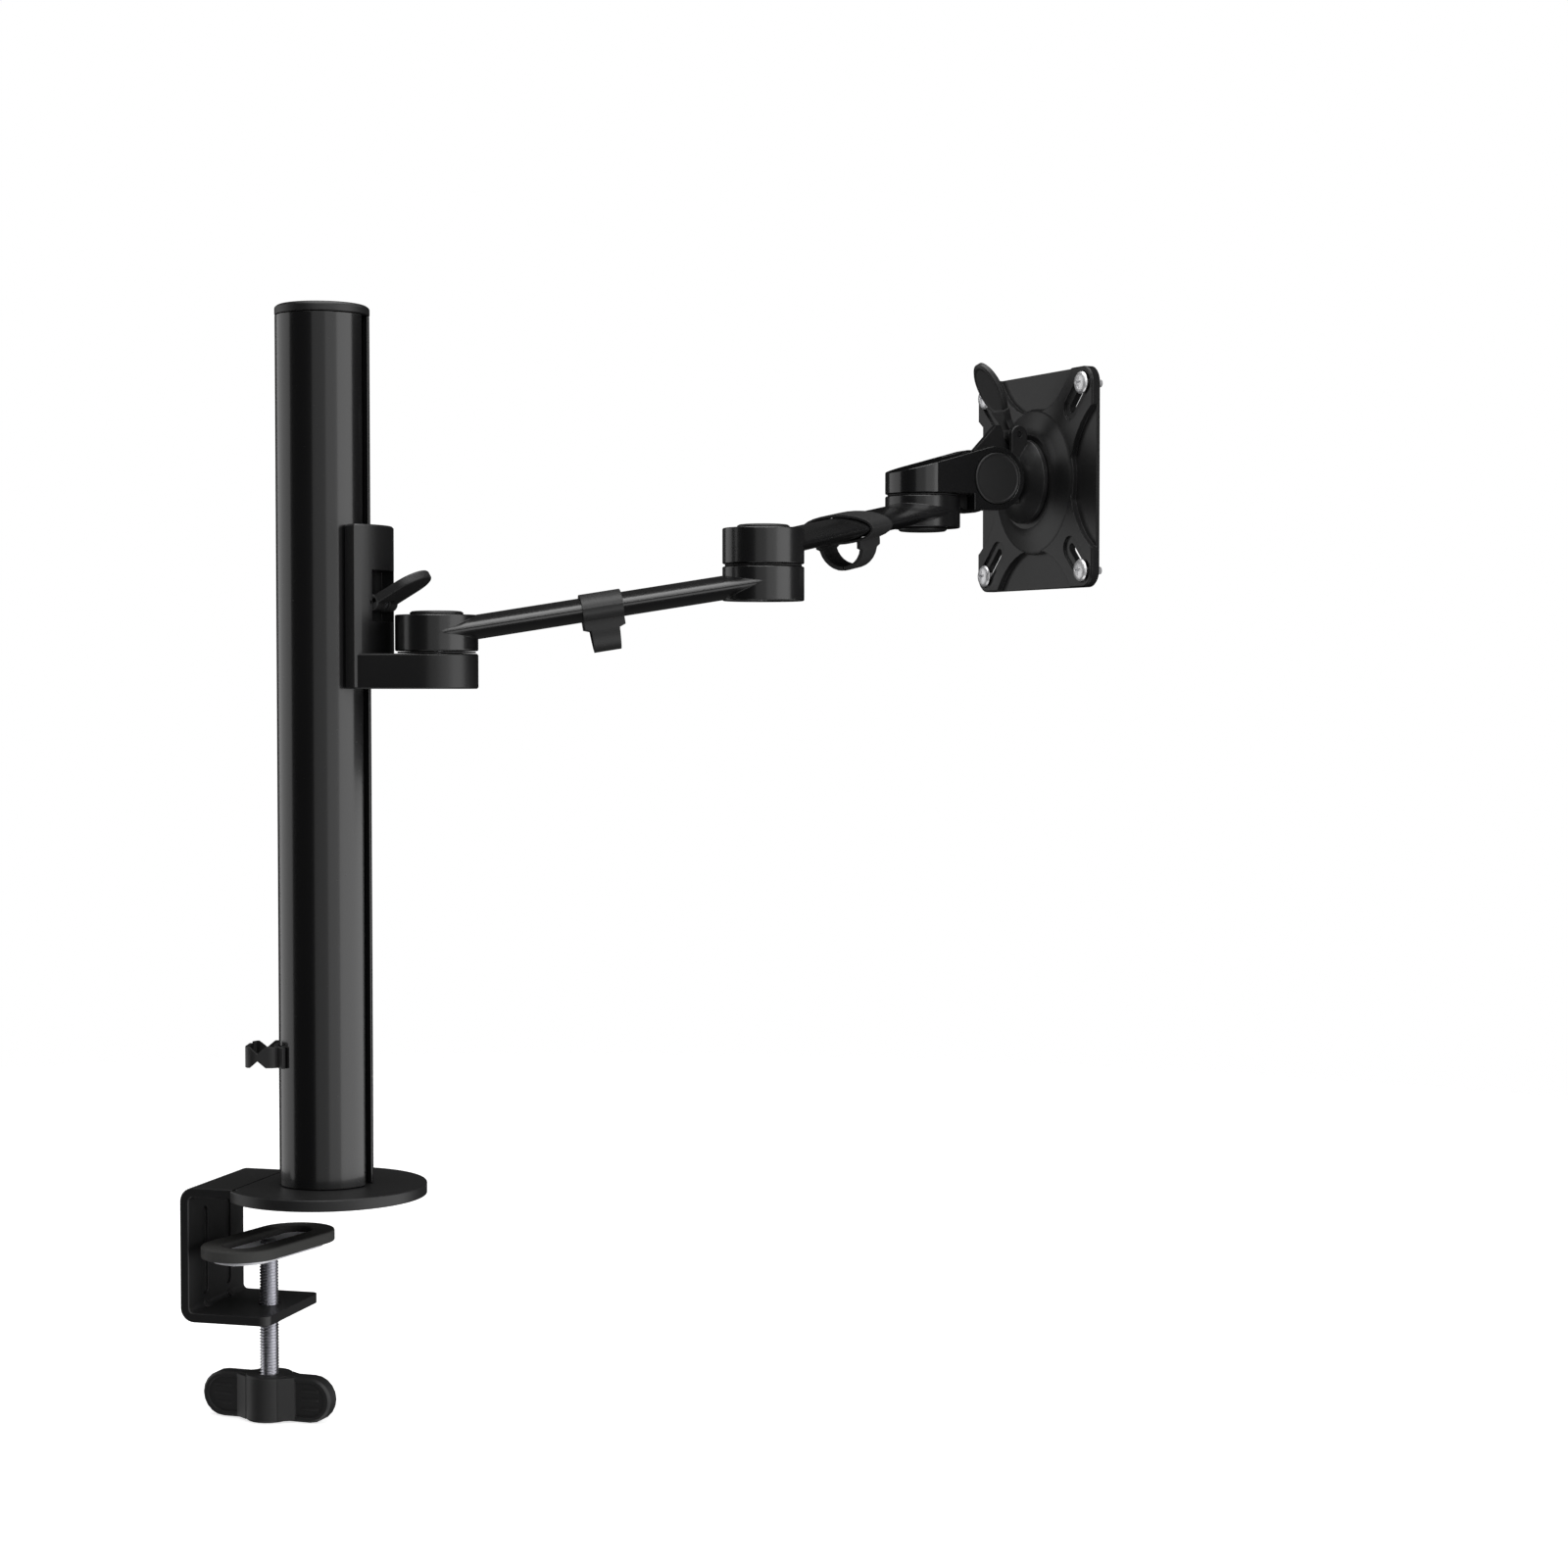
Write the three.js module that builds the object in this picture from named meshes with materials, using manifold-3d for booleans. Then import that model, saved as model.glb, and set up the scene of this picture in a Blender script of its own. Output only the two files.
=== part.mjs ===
// Single monitor arm on a desk clamp: pole, sliding bracket, two links, tilting head and mounting plate.
// Millimetres. +X runs from the desk edge into the desk, +Y along the edge, +Z up.
// The origin is on the pole axis, on the plane where the base pad rests on the desk.
import * as THREE from "three";
import Module from "manifold-3d";

const wasm = await Module();
wasm.setup();

// ---------------------------------------------------------------- driving dimensions

const GAP = 0.3;
const PIN_RADIUS = 1.25;
const FINE = 44;
const MEDIUM = 22;
const COARSE = 14;

const DISC_RADIUS = 49.5;
const DISC_TOP = 6;
const PAD_RADIUS = 45;
const PAD_THICKNESS = 1.2;
const WELD_X = -36;

const CLAMP_BACK_X = -64.5;
const CLAMP_SHEET = 4.6;
const CLAMP_HALF_WIDTH = 31;
const CLAMP_BOTTOM_Z = -60.5;
const CLAMP_FLANGE_END_X = -18;
const CLAMP_BEND = 7;
const SCREW_X = -31.5;
const SCREW_RADIUS = 4.9;
const FOOT_TOP_Z = -22.4;
const FOOT_PAD_THICKNESS = 5.7;
const FOOT_LENGTH = 84;
const FOOT_WIDTH = 40;
const FOOT_HEADING = 79;
const FOOT_PLATE_THICKNESS = 2;
const FOOT_BOSS_TOP_Z = -25.4;
const FOOT_SLOT = [64, 18];
const KNOB_TOP_Z = -90.8;
const KNOB_BOTTOM_Z = -113.5;
const KNOB_HUB_RADIUS = 12.2;
const KNOB_REACH = 35.4;
const KNOB_HEADING = -3;

const POLE_RADIUS = 23;
const POLE_WALL = 2.4;
const POLE_TOP_Z = 433.5;
const CAP_TOP_Z = 439;
const SLOT_HALF_WIDTH = 3.6;
const CHANNEL_HALF_WIDTH = 8.2;
const CHANNEL_INNER_X = 12.4;
const CHANNEL_LIP = 2.6;
const POLE_SCREW_CIRCLE = 15.6;
const POLE_SCREW_HEADINGS = [65, 180, 295];

const CLIP_Z = [64.9, 75.3];
const CLIP_HEADING = 195;

const BRACKET_Z = [250.9, 268];
const COLUMN_TOP_Z = 330.7;
const COLUMN_RADIUS = 34.4;
const COLUMN_HALF_ANGLE = 41;
const LINER = [POLE_RADIUS + GAP, POLE_RADIUS + 1.4];
const SHOULDER_X = 59.5;
const HUB_RADIUS = 20.2;
const HEIGHT_LEVER_X = 30;
const HEIGHT_LEVER_Z = 292.7;
const HEIGHT_LEVER_ANGLE = 30;
const HEIGHT_LEVER_LENGTH = 28.9;
const HEIGHT_LEVER_HALF_WIDTH = 13;

const LINK_LENGTH = 160;
const LINK_PITCH_Z = 43;
const LINK_BASE_Z = 269.3;
const NEAR_HUB_HEIGHT = 17.6;
const FAR_HUB = [24.8, 41.7];
const TUBE_HALF_WIDTH = 20;
const TUBE_HALF_HEIGHT = 6;
const TUBE_START_Z = 8.6;
const TUBE_END_Z = 34.4;
const LINK_1_HEADING = 21.13;
const LINK_2_HEADING = 72.95;
const HUB_CAP_RADIUS = 13;
const BOLT_RADIUS = 4;
const BOLT_HEAD_RADIUS = 6.5;
const BOLT_HEAD_HEIGHT = 6;
const NUT_RADIUS = 7.4;
const NUT_HEIGHT = 6.4;
const CLIP_POSITION = 80;
const CLIP_LENGTH = 20;

const HEAD_HEADING = 41.96;
const HEAD_BASE_Z = 355.3;
const TILT_X = 36;
const TILT_Z = 364;
const FORK_RADIUS = 17.2;
const FORK_HALF_WIDTH = 18;
const LUG_HALF_WIDTH = 8.4;
const TILT_WASHER = [8.7, 9.4];
const TILT_CAP_RADIUS = 13.8;
const FLANGE_X = [56, 65.1];
const FLANGE_RADIUS = 23;
const PLATE_BACK_X = 75;
const SPIGOT_RADIUS = 14;

const PLATE_HALF = 59;
const PLATE_WEB = 2.2;
const PLATE_BODY = 5.3;
const PLATE_DOME = [40, 6.6];
const PLATE_BOSS = [25.7, 9.6];
const VESA_HALF = 50;
const VESA_SMALL_HALF = 37.5;
const RELEASE_LEVER = { x: 56, z: 389, angle: 118.8, length: 43.5 };

// ---------------------------------------------------------------- solid helpers

// Closed three.js geometry to a manifold solid.
function solid(geometry) {
  const soup = geometry.index ? geometry.toNonIndexed() : geometry.clone();
  const position = soup.getAttribute("position");
  const keyed = new Map();
  const vertices = [];
  const triangles = [];
  for (let i = 0; i < position.count; i += 1) {
    const point = [position.getX(i), position.getY(i), position.getZ(i)];
    const key = point.map((value) => Math.round(value * 1e4)).join(",");
    if (!keyed.has(key)) {
      keyed.set(key, vertices.length / 3);
      vertices.push(...point);
    }
    triangles.push(keyed.get(key));
  }
  const kept = [];
  for (let i = 0; i < triangles.length; i += 3) {
    const [a, b, c] = triangles.slice(i, i + 3);
    if (a !== b && b !== c && c !== a) {
      kept.push(a, b, c);
    }
  }
  return new wasm.Manifold(
    new wasm.Mesh({
      numProp: 3,
      vertProperties: new Float32Array(vertices),
      triVerts: new Uint32Array(kept),
    }),
  );
}

// Manifold solid back to a three.js geometry with flat facets.
function toGeometry(body) {
  const mesh = body.getMesh();
  const geometry = new THREE.BufferGeometry();
  geometry.setAttribute("position", new THREE.BufferAttribute(mesh.vertProperties, 3));
  geometry.setIndex(new THREE.BufferAttribute(mesh.triVerts, 1));
  const flat = geometry.toNonIndexed();
  flat.computeVertexNormals();
  return flat;
}

function shapeOf(points) {
  return new THREE.Shape(points.map(([x, y]) => new THREE.Vector2(x, y)));
}

// Upright prism of a flat shape between two heights, with its rims rounded by bevel.
function prism(shape, z0, z1, bevel = 0, curveSegments = COARSE) {
  const geometry = new THREE.ExtrudeGeometry(shape, {
    depth: z1 - z0 - 2 * bevel,
    bevelEnabled: bevel > 0,
    bevelThickness: bevel,
    bevelSize: bevel,
    bevelOffset: -bevel,
    bevelSegments: 1,
    curveSegments,
  });
  geometry.translate(0, 0, z0 + bevel);
  return solid(geometry);
}

// Solid of revolution about Z through [radius, height] points that start and end on the axis.
function turned(profile, segments = FINE) {
  const geometry = new THREE.LatheGeometry(
    profile.map(([radius, height]) => new THREE.Vector2(radius, height)),
    segments,
  );
  geometry.rotateX(Math.PI / 2);
  const body = solid(geometry);
  return body.volume() < 0 ? solid(flipped(geometry)) : body;
}

function flipped(geometry) {
  const copy = geometry.toNonIndexed();
  const position = copy.getAttribute("position");
  for (let i = 0; i < position.count; i += 3) {
    for (let axis = 0; axis < 3; axis += 1) {
      const held = position.getComponent(i + 1, axis);
      position.setComponent(i + 1, axis, position.getComponent(i + 2, axis));
      position.setComponent(i + 2, axis, held);
    }
  }
  return copy;
}

// Upright cylinder with an optional chamfer on both rims.
function disc(radius, z0, z1, segments = FINE, chamfer = 0) {
  if (chamfer === 0) {
    return turned([[0, z0], [radius, z0], [radius, z1], [0, z1]], segments);
  }
  const inner = radius - chamfer;
  const lowerRim = [[0, z0], [inner, z0], [radius, z0 + chamfer]];
  const upperRim = [[radius, z1 - chamfer], [inner, z1], [0, z1]];
  return turned([...lowerRim, ...upperRim], segments);
}

function block(x0, x1, y0, y1, z0, z1) {
  const geometry = new THREE.BoxGeometry(x1 - x0, y1 - y0, z1 - z0);
  geometry.translate((x0 + x1) / 2, (y0 + y1) / 2, (z0 + z1) / 2);
  return solid(geometry);
}

// Turns a solid built along Z so that its Z runs along +Y.
function alongY(body) {
  return body.rotate([-90, 0, 0]);
}

// Turns a solid built along Z so that its Z runs along +X.
function alongX(body) {
  return body.rotate([0, 90, 0]);
}

function circlePoints(radius, from, to, count, x = 0, y = 0) {
  const points = [];
  for (let i = 0; i <= count; i += 1) {
    const angle = THREE.MathUtils.degToRad(from + ((to - from) * i) / count);
    points.push([x + radius * Math.cos(angle), y + radius * Math.sin(angle)]);
  }
  return points;
}

function roundedRectangle(x0, x1, y0, y1, radius) {
  const points = [
    ...circlePoints(radius, -90, 0, 6, x1 - radius, y0 + radius),
    ...circlePoints(radius, 0, 90, 6, x1 - radius, y1 - radius),
    ...circlePoints(radius, 90, 180, 6, x0 + radius, y1 - radius),
    ...circlePoints(radius, 180, 270, 6, x0 + radius, y0 + radius),
  ];
  return shapeOf(points);
}

function racetrack(length, width, count = 10) {
  const offset = (length - width) / 2;
  return shapeOf([
    ...circlePoints(width / 2, -90, 90, count, offset, 0),
    ...circlePoints(width / 2, 90, 270, count, -offset, 0),
  ]);
}

function ringSector(inner, outer, halfAngle, count = 12) {
  return shapeOf([
    ...circlePoints(outer, -halfAngle, halfAngle, count),
    ...circlePoints(inner, halfAngle, -halfAngle, count),
  ]);
}

// Pan or cap head screw along Z: the head's underside is at height 0 and the shank runs down.
function screw(headRadius, headHeight, shankRadius, shankLength, socketRadius) {
  const body = turned(
    [
      [0, -shankLength],
      [shankRadius - 0.5, -shankLength],
      [shankRadius, -shankLength + 0.5],
      [shankRadius, 0],
      [headRadius, 0],
      [headRadius, headHeight - 0.7],
      [headRadius - 0.7, headHeight],
      [0, headHeight],
    ],
    MEDIUM,
  );
  const socket = disc(socketRadius, headHeight * 0.45, headHeight + 1, 6);
  return body.subtract(socket);
}

function nut(radius, height, boreRadius) {
  return disc(radius, 0, height, 6, 0).subtract(disc(boreRadius, -1, height + 1, COARSE));
}

// ---------------------------------------------------------------- finishes

const FINISH = {
  glossBlack: { color: 0x101011, roughness: 0.25, metalness: 0.0 },
  satinBlack: { color: 0x1a1a1b, roughness: 0.45, metalness: 0.0 },
  matteBlack: { color: 0x202021, roughness: 0.7, metalness: 0.0 },
  rubber: { color: 0x161616, roughness: 0.9, metalness: 0.0 },
  zinc: { color: 0xb9babd, roughness: 0.35, metalness: 0.9 },
  nylon: { color: 0x2b2b2c, roughness: 0.6, metalness: 0.0 },
};

const root = new THREE.Group();

function addPiece(parent, name, body, finish) {
  const mesh = new THREE.Mesh(toGeometry(body), new THREE.MeshStandardMaterial(FINISH[finish]));
  mesh.name = name;
  parent.add(mesh);
  return mesh;
}

function addFrame(parent, x, y, z, headingDegrees) {
  const frame = new THREE.Group();
  frame.position.set(x, y, z);
  frame.rotation.z = THREE.MathUtils.degToRad(headingDegrees);
  parent.add(frame);
  return frame;
}

// ---------------------------------------------------------------- base and desk clamp

function basePlate() {
  const edge = Math.acos(WELD_X / DISC_RADIUS) * THREE.MathUtils.RAD2DEG;
  const outline = shapeOf(circlePoints(DISC_RADIUS, -edge, edge, FINE));
  const bottom = GAP;
  let plate = prism(outline, bottom, DISC_TOP, 0.5);
  plate = plate.subtract(disc(PAD_RADIUS + GAP, -1, PAD_THICKNESS + GAP));
  for (const side of [-1, 1]) {
    const relief = disc(2, -1, DISC_TOP + 1, COARSE).translate([WELD_X, side * CLAMP_HALF_WIDTH, 0]);
    plate = plate.subtract(relief);
  }
  for (const heading of POLE_SCREW_HEADINGS) {
    plate = plate.subtract(countersunkHole().rotate([0, 0, heading]));
  }
  return plate;
}

// Through hole with a cone on the desk side, for one pole screw on the +X axis.
function countersunkHole() {
  const coneTop = PAD_THICKNESS + GAP + 0.2;
  const cone = turned([[0, 0], [5.4, 0], [5.4, coneTop], [2.9, 4.2], [2.9, 9], [0, 9]], COARSE);
  return cone.translate([POLE_SCREW_CIRCLE, 0, 0]);
}

function poleScrew() {
  const start = PAD_THICKNESS + GAP + 0.2;
  const body = turned([[0, start], [5, start], [2.5, 4.0], [2.5, 22], [2, 22.5], [0, 22.5]], COARSE);
  return body.subtract(disc(1.8, start - 1, start + 1.6, 6));
}

function basePad() {
  const cut = block(-PAD_RADIUS - 1, WELD_X + 2, -PAD_RADIUS, PAD_RADIUS, -1, PAD_THICKNESS + 1);
  return disc(PAD_RADIUS, 0, PAD_THICKNESS).subtract(cut);
}

// Cross-section of the bent sheet in the XZ plane, drawn as [x, z].
function clampSection() {
  const outer = CLAMP_BEND;
  const inner = CLAMP_BEND - CLAMP_SHEET;
  const x0 = CLAMP_BACK_X;
  const top = DISC_TOP;
  const bottom = CLAMP_BOTTOM_Z;
  const flange = WELD_X - GAP;
  return shapeOf([
    [flange, top],
    ...circlePoints(outer, 90, 180, 8, x0 + outer, top - outer),
    ...circlePoints(outer, 180, 270, 8, x0 + outer, bottom + outer),
    [CLAMP_FLANGE_END_X, bottom],
    [CLAMP_FLANGE_END_X, bottom + CLAMP_SHEET],
    ...circlePoints(inner, 270, 180, 5, x0 + outer, bottom + outer),
    ...circlePoints(inner, 180, 90, 5, x0 + outer, top - outer),
    [flange, top - CLAMP_SHEET],
  ]);
}

function clampBracket() {
  const halfWidth = CLAMP_HALF_WIDTH;
  let bracket = prism(clampSection(), -halfWidth, halfWidth, 0.4).rotate([90, 0, 0]);
  const plan = roundedRectangle(-90, CLAMP_FLANGE_END_X, -halfWidth, halfWidth, 5);
  const lower = prism(plan, CLAMP_BOTTOM_Z - 1, CLAMP_BOTTOM_Z + 20);
  const upper = block(-90, 0, -halfWidth - 1, halfWidth + 1, CLAMP_BOTTOM_Z + 19, 20);
  bracket = bracket.intersect(lower.add(upper));
  const wall = CLAMP_BACK_X + CLAMP_SHEET;
  const floor = CLAMP_BOTTOM_Z + CLAMP_SHEET;
  const groove = prism(racetrack(44, 6.4), 0, 2).rotate([0, 90, 0]);
  const corner = shapeOf([[wall - 0.5, floor - 0.5], [wall + 3.5, floor - 0.5], [wall - 0.5, floor + 3.5]]);
  const gusset = prism(corner, -1.7, 1.7).rotate([90, 0, 0]);
  for (const y of [-13, 13]) {
    bracket = bracket.subtract(groove.translate([wall - 1.4, y, -28]));
    bracket = bracket.add(gusset.translate([0, y, 0]));
  }
  return bracket.subtract(disc(SCREW_RADIUS + GAP, -80, -40, MEDIUM).translate([SCREW_X, 0, 0]));
}

function clampScrew() {
  const plateBottom = FOOT_TOP_Z - FOOT_PAD_THICKNESS - GAP - FOOT_PLATE_THICKNESS - GAP;
  const head = FOOT_BOSS_TOP_Z + GAP;
  const body = turned(
    [
      [0, KNOB_TOP_Z - 16],
      [SCREW_RADIUS, KNOB_TOP_Z - 16],
      [SCREW_RADIUS, plateBottom - 0.8],
      [SCREW_RADIUS - 0.8, plateBottom],
      [2.4, plateBottom],
      [2.4, head],
      [4.2, head],
      [3.4, head + 1.8],
      [0, head + 1.9],
    ],
    MEDIUM,
  );
  return body.translate([SCREW_X, 0, 0]);
}

function clampKnob() {
  const mid = (KNOB_TOP_Z + KNOB_BOTTOM_Z) / 2;
  const lobe = (KNOB_TOP_Z - KNOB_BOTTOM_Z) / 2;
  const wing = racetrack(2 * KNOB_REACH, 2 * lobe);
  const face = 4.3;
  let knob = prism(wing, -face, face, 1.2).rotate([90, 0, 0]);
  const middle = block(-14, 14, -20, 20, -lobe - 1, lobe + 1);
  const recess = racetrack(2 * KNOB_REACH - 6, 2 * lobe - 5.4);
  const panel = prism(recess, 0, 2).rotate([90, 0, 0]).subtract(middle);
  knob = knob.subtract(panel.translate([0, -face + 0.8, 0])).subtract(panel.translate([0, face + 1.2, 0]));
  for (const shift of [-24, 24]) {
    for (const height of [-4.5, 0, 4.5]) {
      knob = knob.add(block(shift - 4.5, shift + 4.5, -face + 0.4, face - 0.4, height - 0.5, height + 0.5));
    }
  }
  const nearFlank = [[-16, -face], [-9, -8.6], [9, -8.6], [16, -face]];
  const farFlank = [[16, face], [9, 8.6], [-9, 8.6], [-16, face]];
  const flank = shapeOf([...nearFlank, ...farFlank]);
  const hub = disc(KNOB_HUB_RADIUS, -lobe, lobe, MEDIUM, 1).add(prism(flank, -lobe + 0.7, lobe - 0.7));
  const bore = disc(SCREW_RADIUS + GAP, KNOB_TOP_Z - 16 - GAP - mid, lobe + 1, MEDIUM);
  return knob.add(hub).subtract(bore).rotate([0, 0, KNOB_HEADING]).translate([SCREW_X, 0, mid]);
}

function footPad() {
  const bottom = FOOT_TOP_Z - FOOT_PAD_THICKNESS;
  const outer = prism(racetrack(FOOT_LENGTH, FOOT_WIDTH), bottom, FOOT_TOP_Z, 0.6);
  const slot = prism(racetrack(...FOOT_SLOT), bottom - 1, FOOT_TOP_Z + 1);
  return placeFoot(outer.subtract(slot));
}

// Pressed plate under the pad, with a raised middle that stands in the pad's slot.
function footPlate() {
  const top = FOOT_TOP_Z - FOOT_PAD_THICKNESS - GAP;
  const outer = prism(racetrack(FOOT_LENGTH - 12, FOOT_WIDTH - 10), top - FOOT_PLATE_THICKNESS, top, 0.3);
  const [length, width] = FOOT_SLOT;
  const boss = prism(racetrack(length - 2 * GAP, width - 2 * GAP), top - 1, FOOT_BOSS_TOP_Z, 0.4);
  return placeFoot(outer.add(boss).subtract(disc(2.4 + GAP, top - 5, FOOT_BOSS_TOP_Z + 1, MEDIUM)));
}

function footRivet(offset) {
  const top = FOOT_TOP_Z - FOOT_PAD_THICKNESS - GAP - FOOT_PLATE_THICKNESS - GAP;
  const head = turned([[0, top - 1.4], [2.2, top - 1.4], [3, top - 0.6], [3, top], [0, top]], COARSE);
  return placeFoot(head.translate([offset, 0, 0]));
}

function placeFoot(body) {
  return body.rotate([0, 0, FOOT_HEADING]).translate([SCREW_X, 0, 0]);
}

// ---------------------------------------------------------------- pole

function poleTube() {
  const bottom = DISC_TOP + GAP;
  const hollow = disc(POLE_RADIUS - POLE_WALL, bottom - 1, POLE_TOP_Z + 1);
  const channelWall = block(
    CHANNEL_INNER_X - POLE_WALL,
    POLE_RADIUS - POLE_WALL + 1,
    -CHANNEL_HALF_WIDTH - POLE_WALL,
    CHANNEL_HALF_WIDTH + POLE_WALL,
    bottom,
    POLE_TOP_Z,
  );
  let filled = channelWall;
  for (const heading of POLE_SCREW_HEADINGS) {
    const boss = disc(4.6, bottom, POLE_TOP_Z, COARSE);
    const web = block(2, 8, -1.4, 1.4, bottom, POLE_TOP_Z);
    filled = filled.add(boss.add(web).translate([POLE_SCREW_CIRCLE, 0, 0]).rotate([0, 0, heading]));
  }
  let tube = disc(POLE_RADIUS, bottom, POLE_TOP_Z).subtract(hollow.subtract(filled));
  const innerFace = POLE_RADIUS - CHANNEL_LIP - 0.6;
  const below = bottom - 1;
  const above = POLE_TOP_Z + 1;
  const channel = block(CHANNEL_INNER_X, innerFace, -CHANNEL_HALF_WIDTH, CHANNEL_HALF_WIDTH, below, above);
  const slot = block(innerFace - 1, POLE_RADIUS + 1, -SLOT_HALF_WIDTH, SLOT_HALF_WIDTH, below, above);
  tube = tube.subtract(channel).subtract(slot);
  for (const heading of POLE_SCREW_HEADINGS) {
    const bore = disc(2.5 + GAP, bottom - 1, POLE_TOP_Z + 1, COARSE).translate([POLE_SCREW_CIRCLE, 0, 0]);
    tube = tube.subtract(bore.rotate([0, 0, heading]));
  }
  return tube;
}

function poleCap() {
  const rim = POLE_TOP_Z + GAP;
  const dome = turned([
    [0, rim],
    [POLE_RADIUS, rim],
    [POLE_RADIUS + 0.2, rim + 0.6],
    [POLE_RADIUS, CAP_TOP_Z - 1.6],
    [POLE_RADIUS - 1.6, CAP_TOP_Z - 0.6],
    [POLE_RADIUS - 7, CAP_TOP_Z - 0.1],
    [0, CAP_TOP_Z],
  ]);
  const peg = disc(2.2, rim - 9, rim + 1, COARSE);
  let cap = dome;
  for (const heading of POLE_SCREW_HEADINGS) {
    cap = cap.add(peg.translate([POLE_SCREW_CIRCLE, 0, 0]).rotate([0, 0, heading]));
  }
  return cap;
}

function poleClip() {
  const [bottom, top] = CLIP_Z;
  const saddle = prism(ringSector(POLE_RADIUS + GAP, POLE_RADIUS + 2.4, 42), bottom, top);
  const outer = prism(roundedRectangle(20, 38.4, -14.5, 14.5, 6), bottom, top);
  const inner = prism(roundedRectangle(18, 36.4, -12.5, 12.5, 4.4), bottom - 1, top + 1);
  const mouth = block(33, 40, -9.5, -3, bottom - 1, top + 1);
  let loop = outer.subtract(inner).subtract(mouth);
  const notch = prism(shapeOf([[-4, 0], [4, 0], [0, 3.4]]), -20, 20).rotate([90, 0, 0]);
  loop = loop.subtract(notch.translate([31.5, 0, bottom - 0.01]));
  loop = loop.subtract(notch.rotate([180, 0, 0]).translate([31.5, 0, top + 0.01]));
  const pole = disc(POLE_RADIUS + GAP, bottom - 1, top + 1);
  return saddle.add(loop).subtract(pole).rotate([0, 0, CLIP_HEADING]);
}

// ---------------------------------------------------------------- sliding bracket

function sliderBody() {
  const [bottom, seat] = BRACKET_Z;
  const inner = LINER[1] + GAP;
  const columnPlan = ringSector(inner, COLUMN_RADIUS, COLUMN_HALF_ANGLE);
  const column = prism(columnPlan, bottom, COLUMN_TOP_Z, 0.9);
  const corner = circlePoints(COLUMN_RADIUS - 0.4, -COLUMN_HALF_ANGLE + 1, -COLUMN_HALF_ANGLE + 1, 1)[0];
  const armPlan = shapeOf([
    [corner[0] - 1, corner[1] + 0.5],
    ...circlePoints(HUB_RADIUS, -93, 93, 26, SHOULDER_X, 0),
    [corner[0] - 1, -corner[1] - 0.5],
  ]);
  const arm = prism(armPlan, bottom, seat, 0.7);
  const pocketDepth = HEIGHT_LEVER_X - 4.9;
  const pocket = block(
    pocketDepth,
    COLUMN_RADIUS + 2,
    -HEIGHT_LEVER_HALF_WIDTH - 0.5,
    HEIGHT_LEVER_HALF_WIDTH + 0.5,
    HEIGHT_LEVER_Z - 9,
    HEIGHT_LEVER_Z + 16,
  );
  const stud = alongX(disc(3.2, inner - 3, COLUMN_RADIUS + 1, COARSE)).translate([0, 0, HEIGHT_LEVER_Z]);
  const drill = alongY(disc(PIN_RADIUS + GAP, -14.6, 14.6, COARSE));
  const pinHole = drill.translate([HEIGHT_LEVER_X, 0, HEIGHT_LEVER_Z]);
  const bore = disc(inner, bottom - 1, COLUMN_TOP_Z + 1);
  let body = column.add(arm).subtract(bore).subtract(pocket).subtract(stud);
  body = body.subtract(pinHole);
  return body.subtract(jointBore(bottom, seat, "nut").translate([SHOULDER_X, 0, 0]));
}

function sliderLiner() {
  const plan = ringSector(LINER[0], LINER[1], COLUMN_HALF_ANGLE - 2);
  const stud = alongX(disc(3.4, 20, 30, COARSE)).translate([0, 0, HEIGHT_LEVER_Z]);
  return prism(plan, BRACKET_Z[0] + 1, COLUMN_TOP_Z - 1).subtract(stud);
}

function slotNut() {
  const innerFace = POLE_RADIUS - CHANNEL_LIP - 0.6;
  const z0 = HEIGHT_LEVER_Z - 18;
  const z1 = HEIGHT_LEVER_Z + 18;
  const half = CHANNEL_HALF_WIDTH - GAP;
  const head = block(innerFace - GAP - 4.6, innerFace - GAP, -half, half, z0, z1);
  const neckHalf = SLOT_HALF_WIDTH - GAP;
  const neck = block(innerFace - 1, POLE_RADIUS - 0.5, -neckHalf, neckHalf, z0, z1);
  const bore = alongX(disc(2.6, 5, 30, COARSE)).translate([0, 0, HEIGHT_LEVER_Z]);
  return head.add(neck).subtract(bore);
}

// Draw bolt from the slot nut to the lever pin, with a flat eye at its outer end.
function drawStud() {
  const shank = alongX(disc(2.3, 15.4, HEIGHT_LEVER_X - 2, COARSE));
  const eye = alongY(disc(3.4, -2.2, 2.2, COARSE)).translate([HEIGHT_LEVER_X, 0, 0]);
  const hole = alongY(disc(PIN_RADIUS + GAP, -4, 4, COARSE)).translate([HEIGHT_LEVER_X, 0, 0]);
  return shank.add(eye).subtract(hole).translate([0, 0, HEIGHT_LEVER_Z]);
}

function heightLever() {
  const half = HEIGHT_LEVER_HALF_WIDTH;
  const plan = shapeOf([
    [0, -half + 0.3],
    [10, -half + 0.3],
    ...circlePoints(half - 0.3, -90, 90, 16, HEIGHT_LEVER_LENGTH - half + 0.3, 0),
    [0, half - 0.3],
  ]);
  const tab = prism(plan, -2.3, 2.3, 0.9);
  const cam = alongY(disc(4.2, -half + 0.3, half - 0.3, MEDIUM));
  const eyeRoom = alongY(disc(5.4, -2.6, 2.6, COARSE));
  const hole = alongY(disc(PIN_RADIUS + GAP, -half, half, COARSE));
  const lever = tab.add(cam).subtract(eyeRoom).subtract(hole);
  return lever.rotate([0, -HEIGHT_LEVER_ANGLE, 0]).translate([HEIGHT_LEVER_X, 0, HEIGHT_LEVER_Z]);
}

function heightLeverPin() {
  return alongY(disc(PIN_RADIUS, -14.3, 14.3, COARSE)).translate([HEIGHT_LEVER_X, 0, HEIGHT_LEVER_Z]);
}

// ---------------------------------------------------------------- swivel joints

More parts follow.
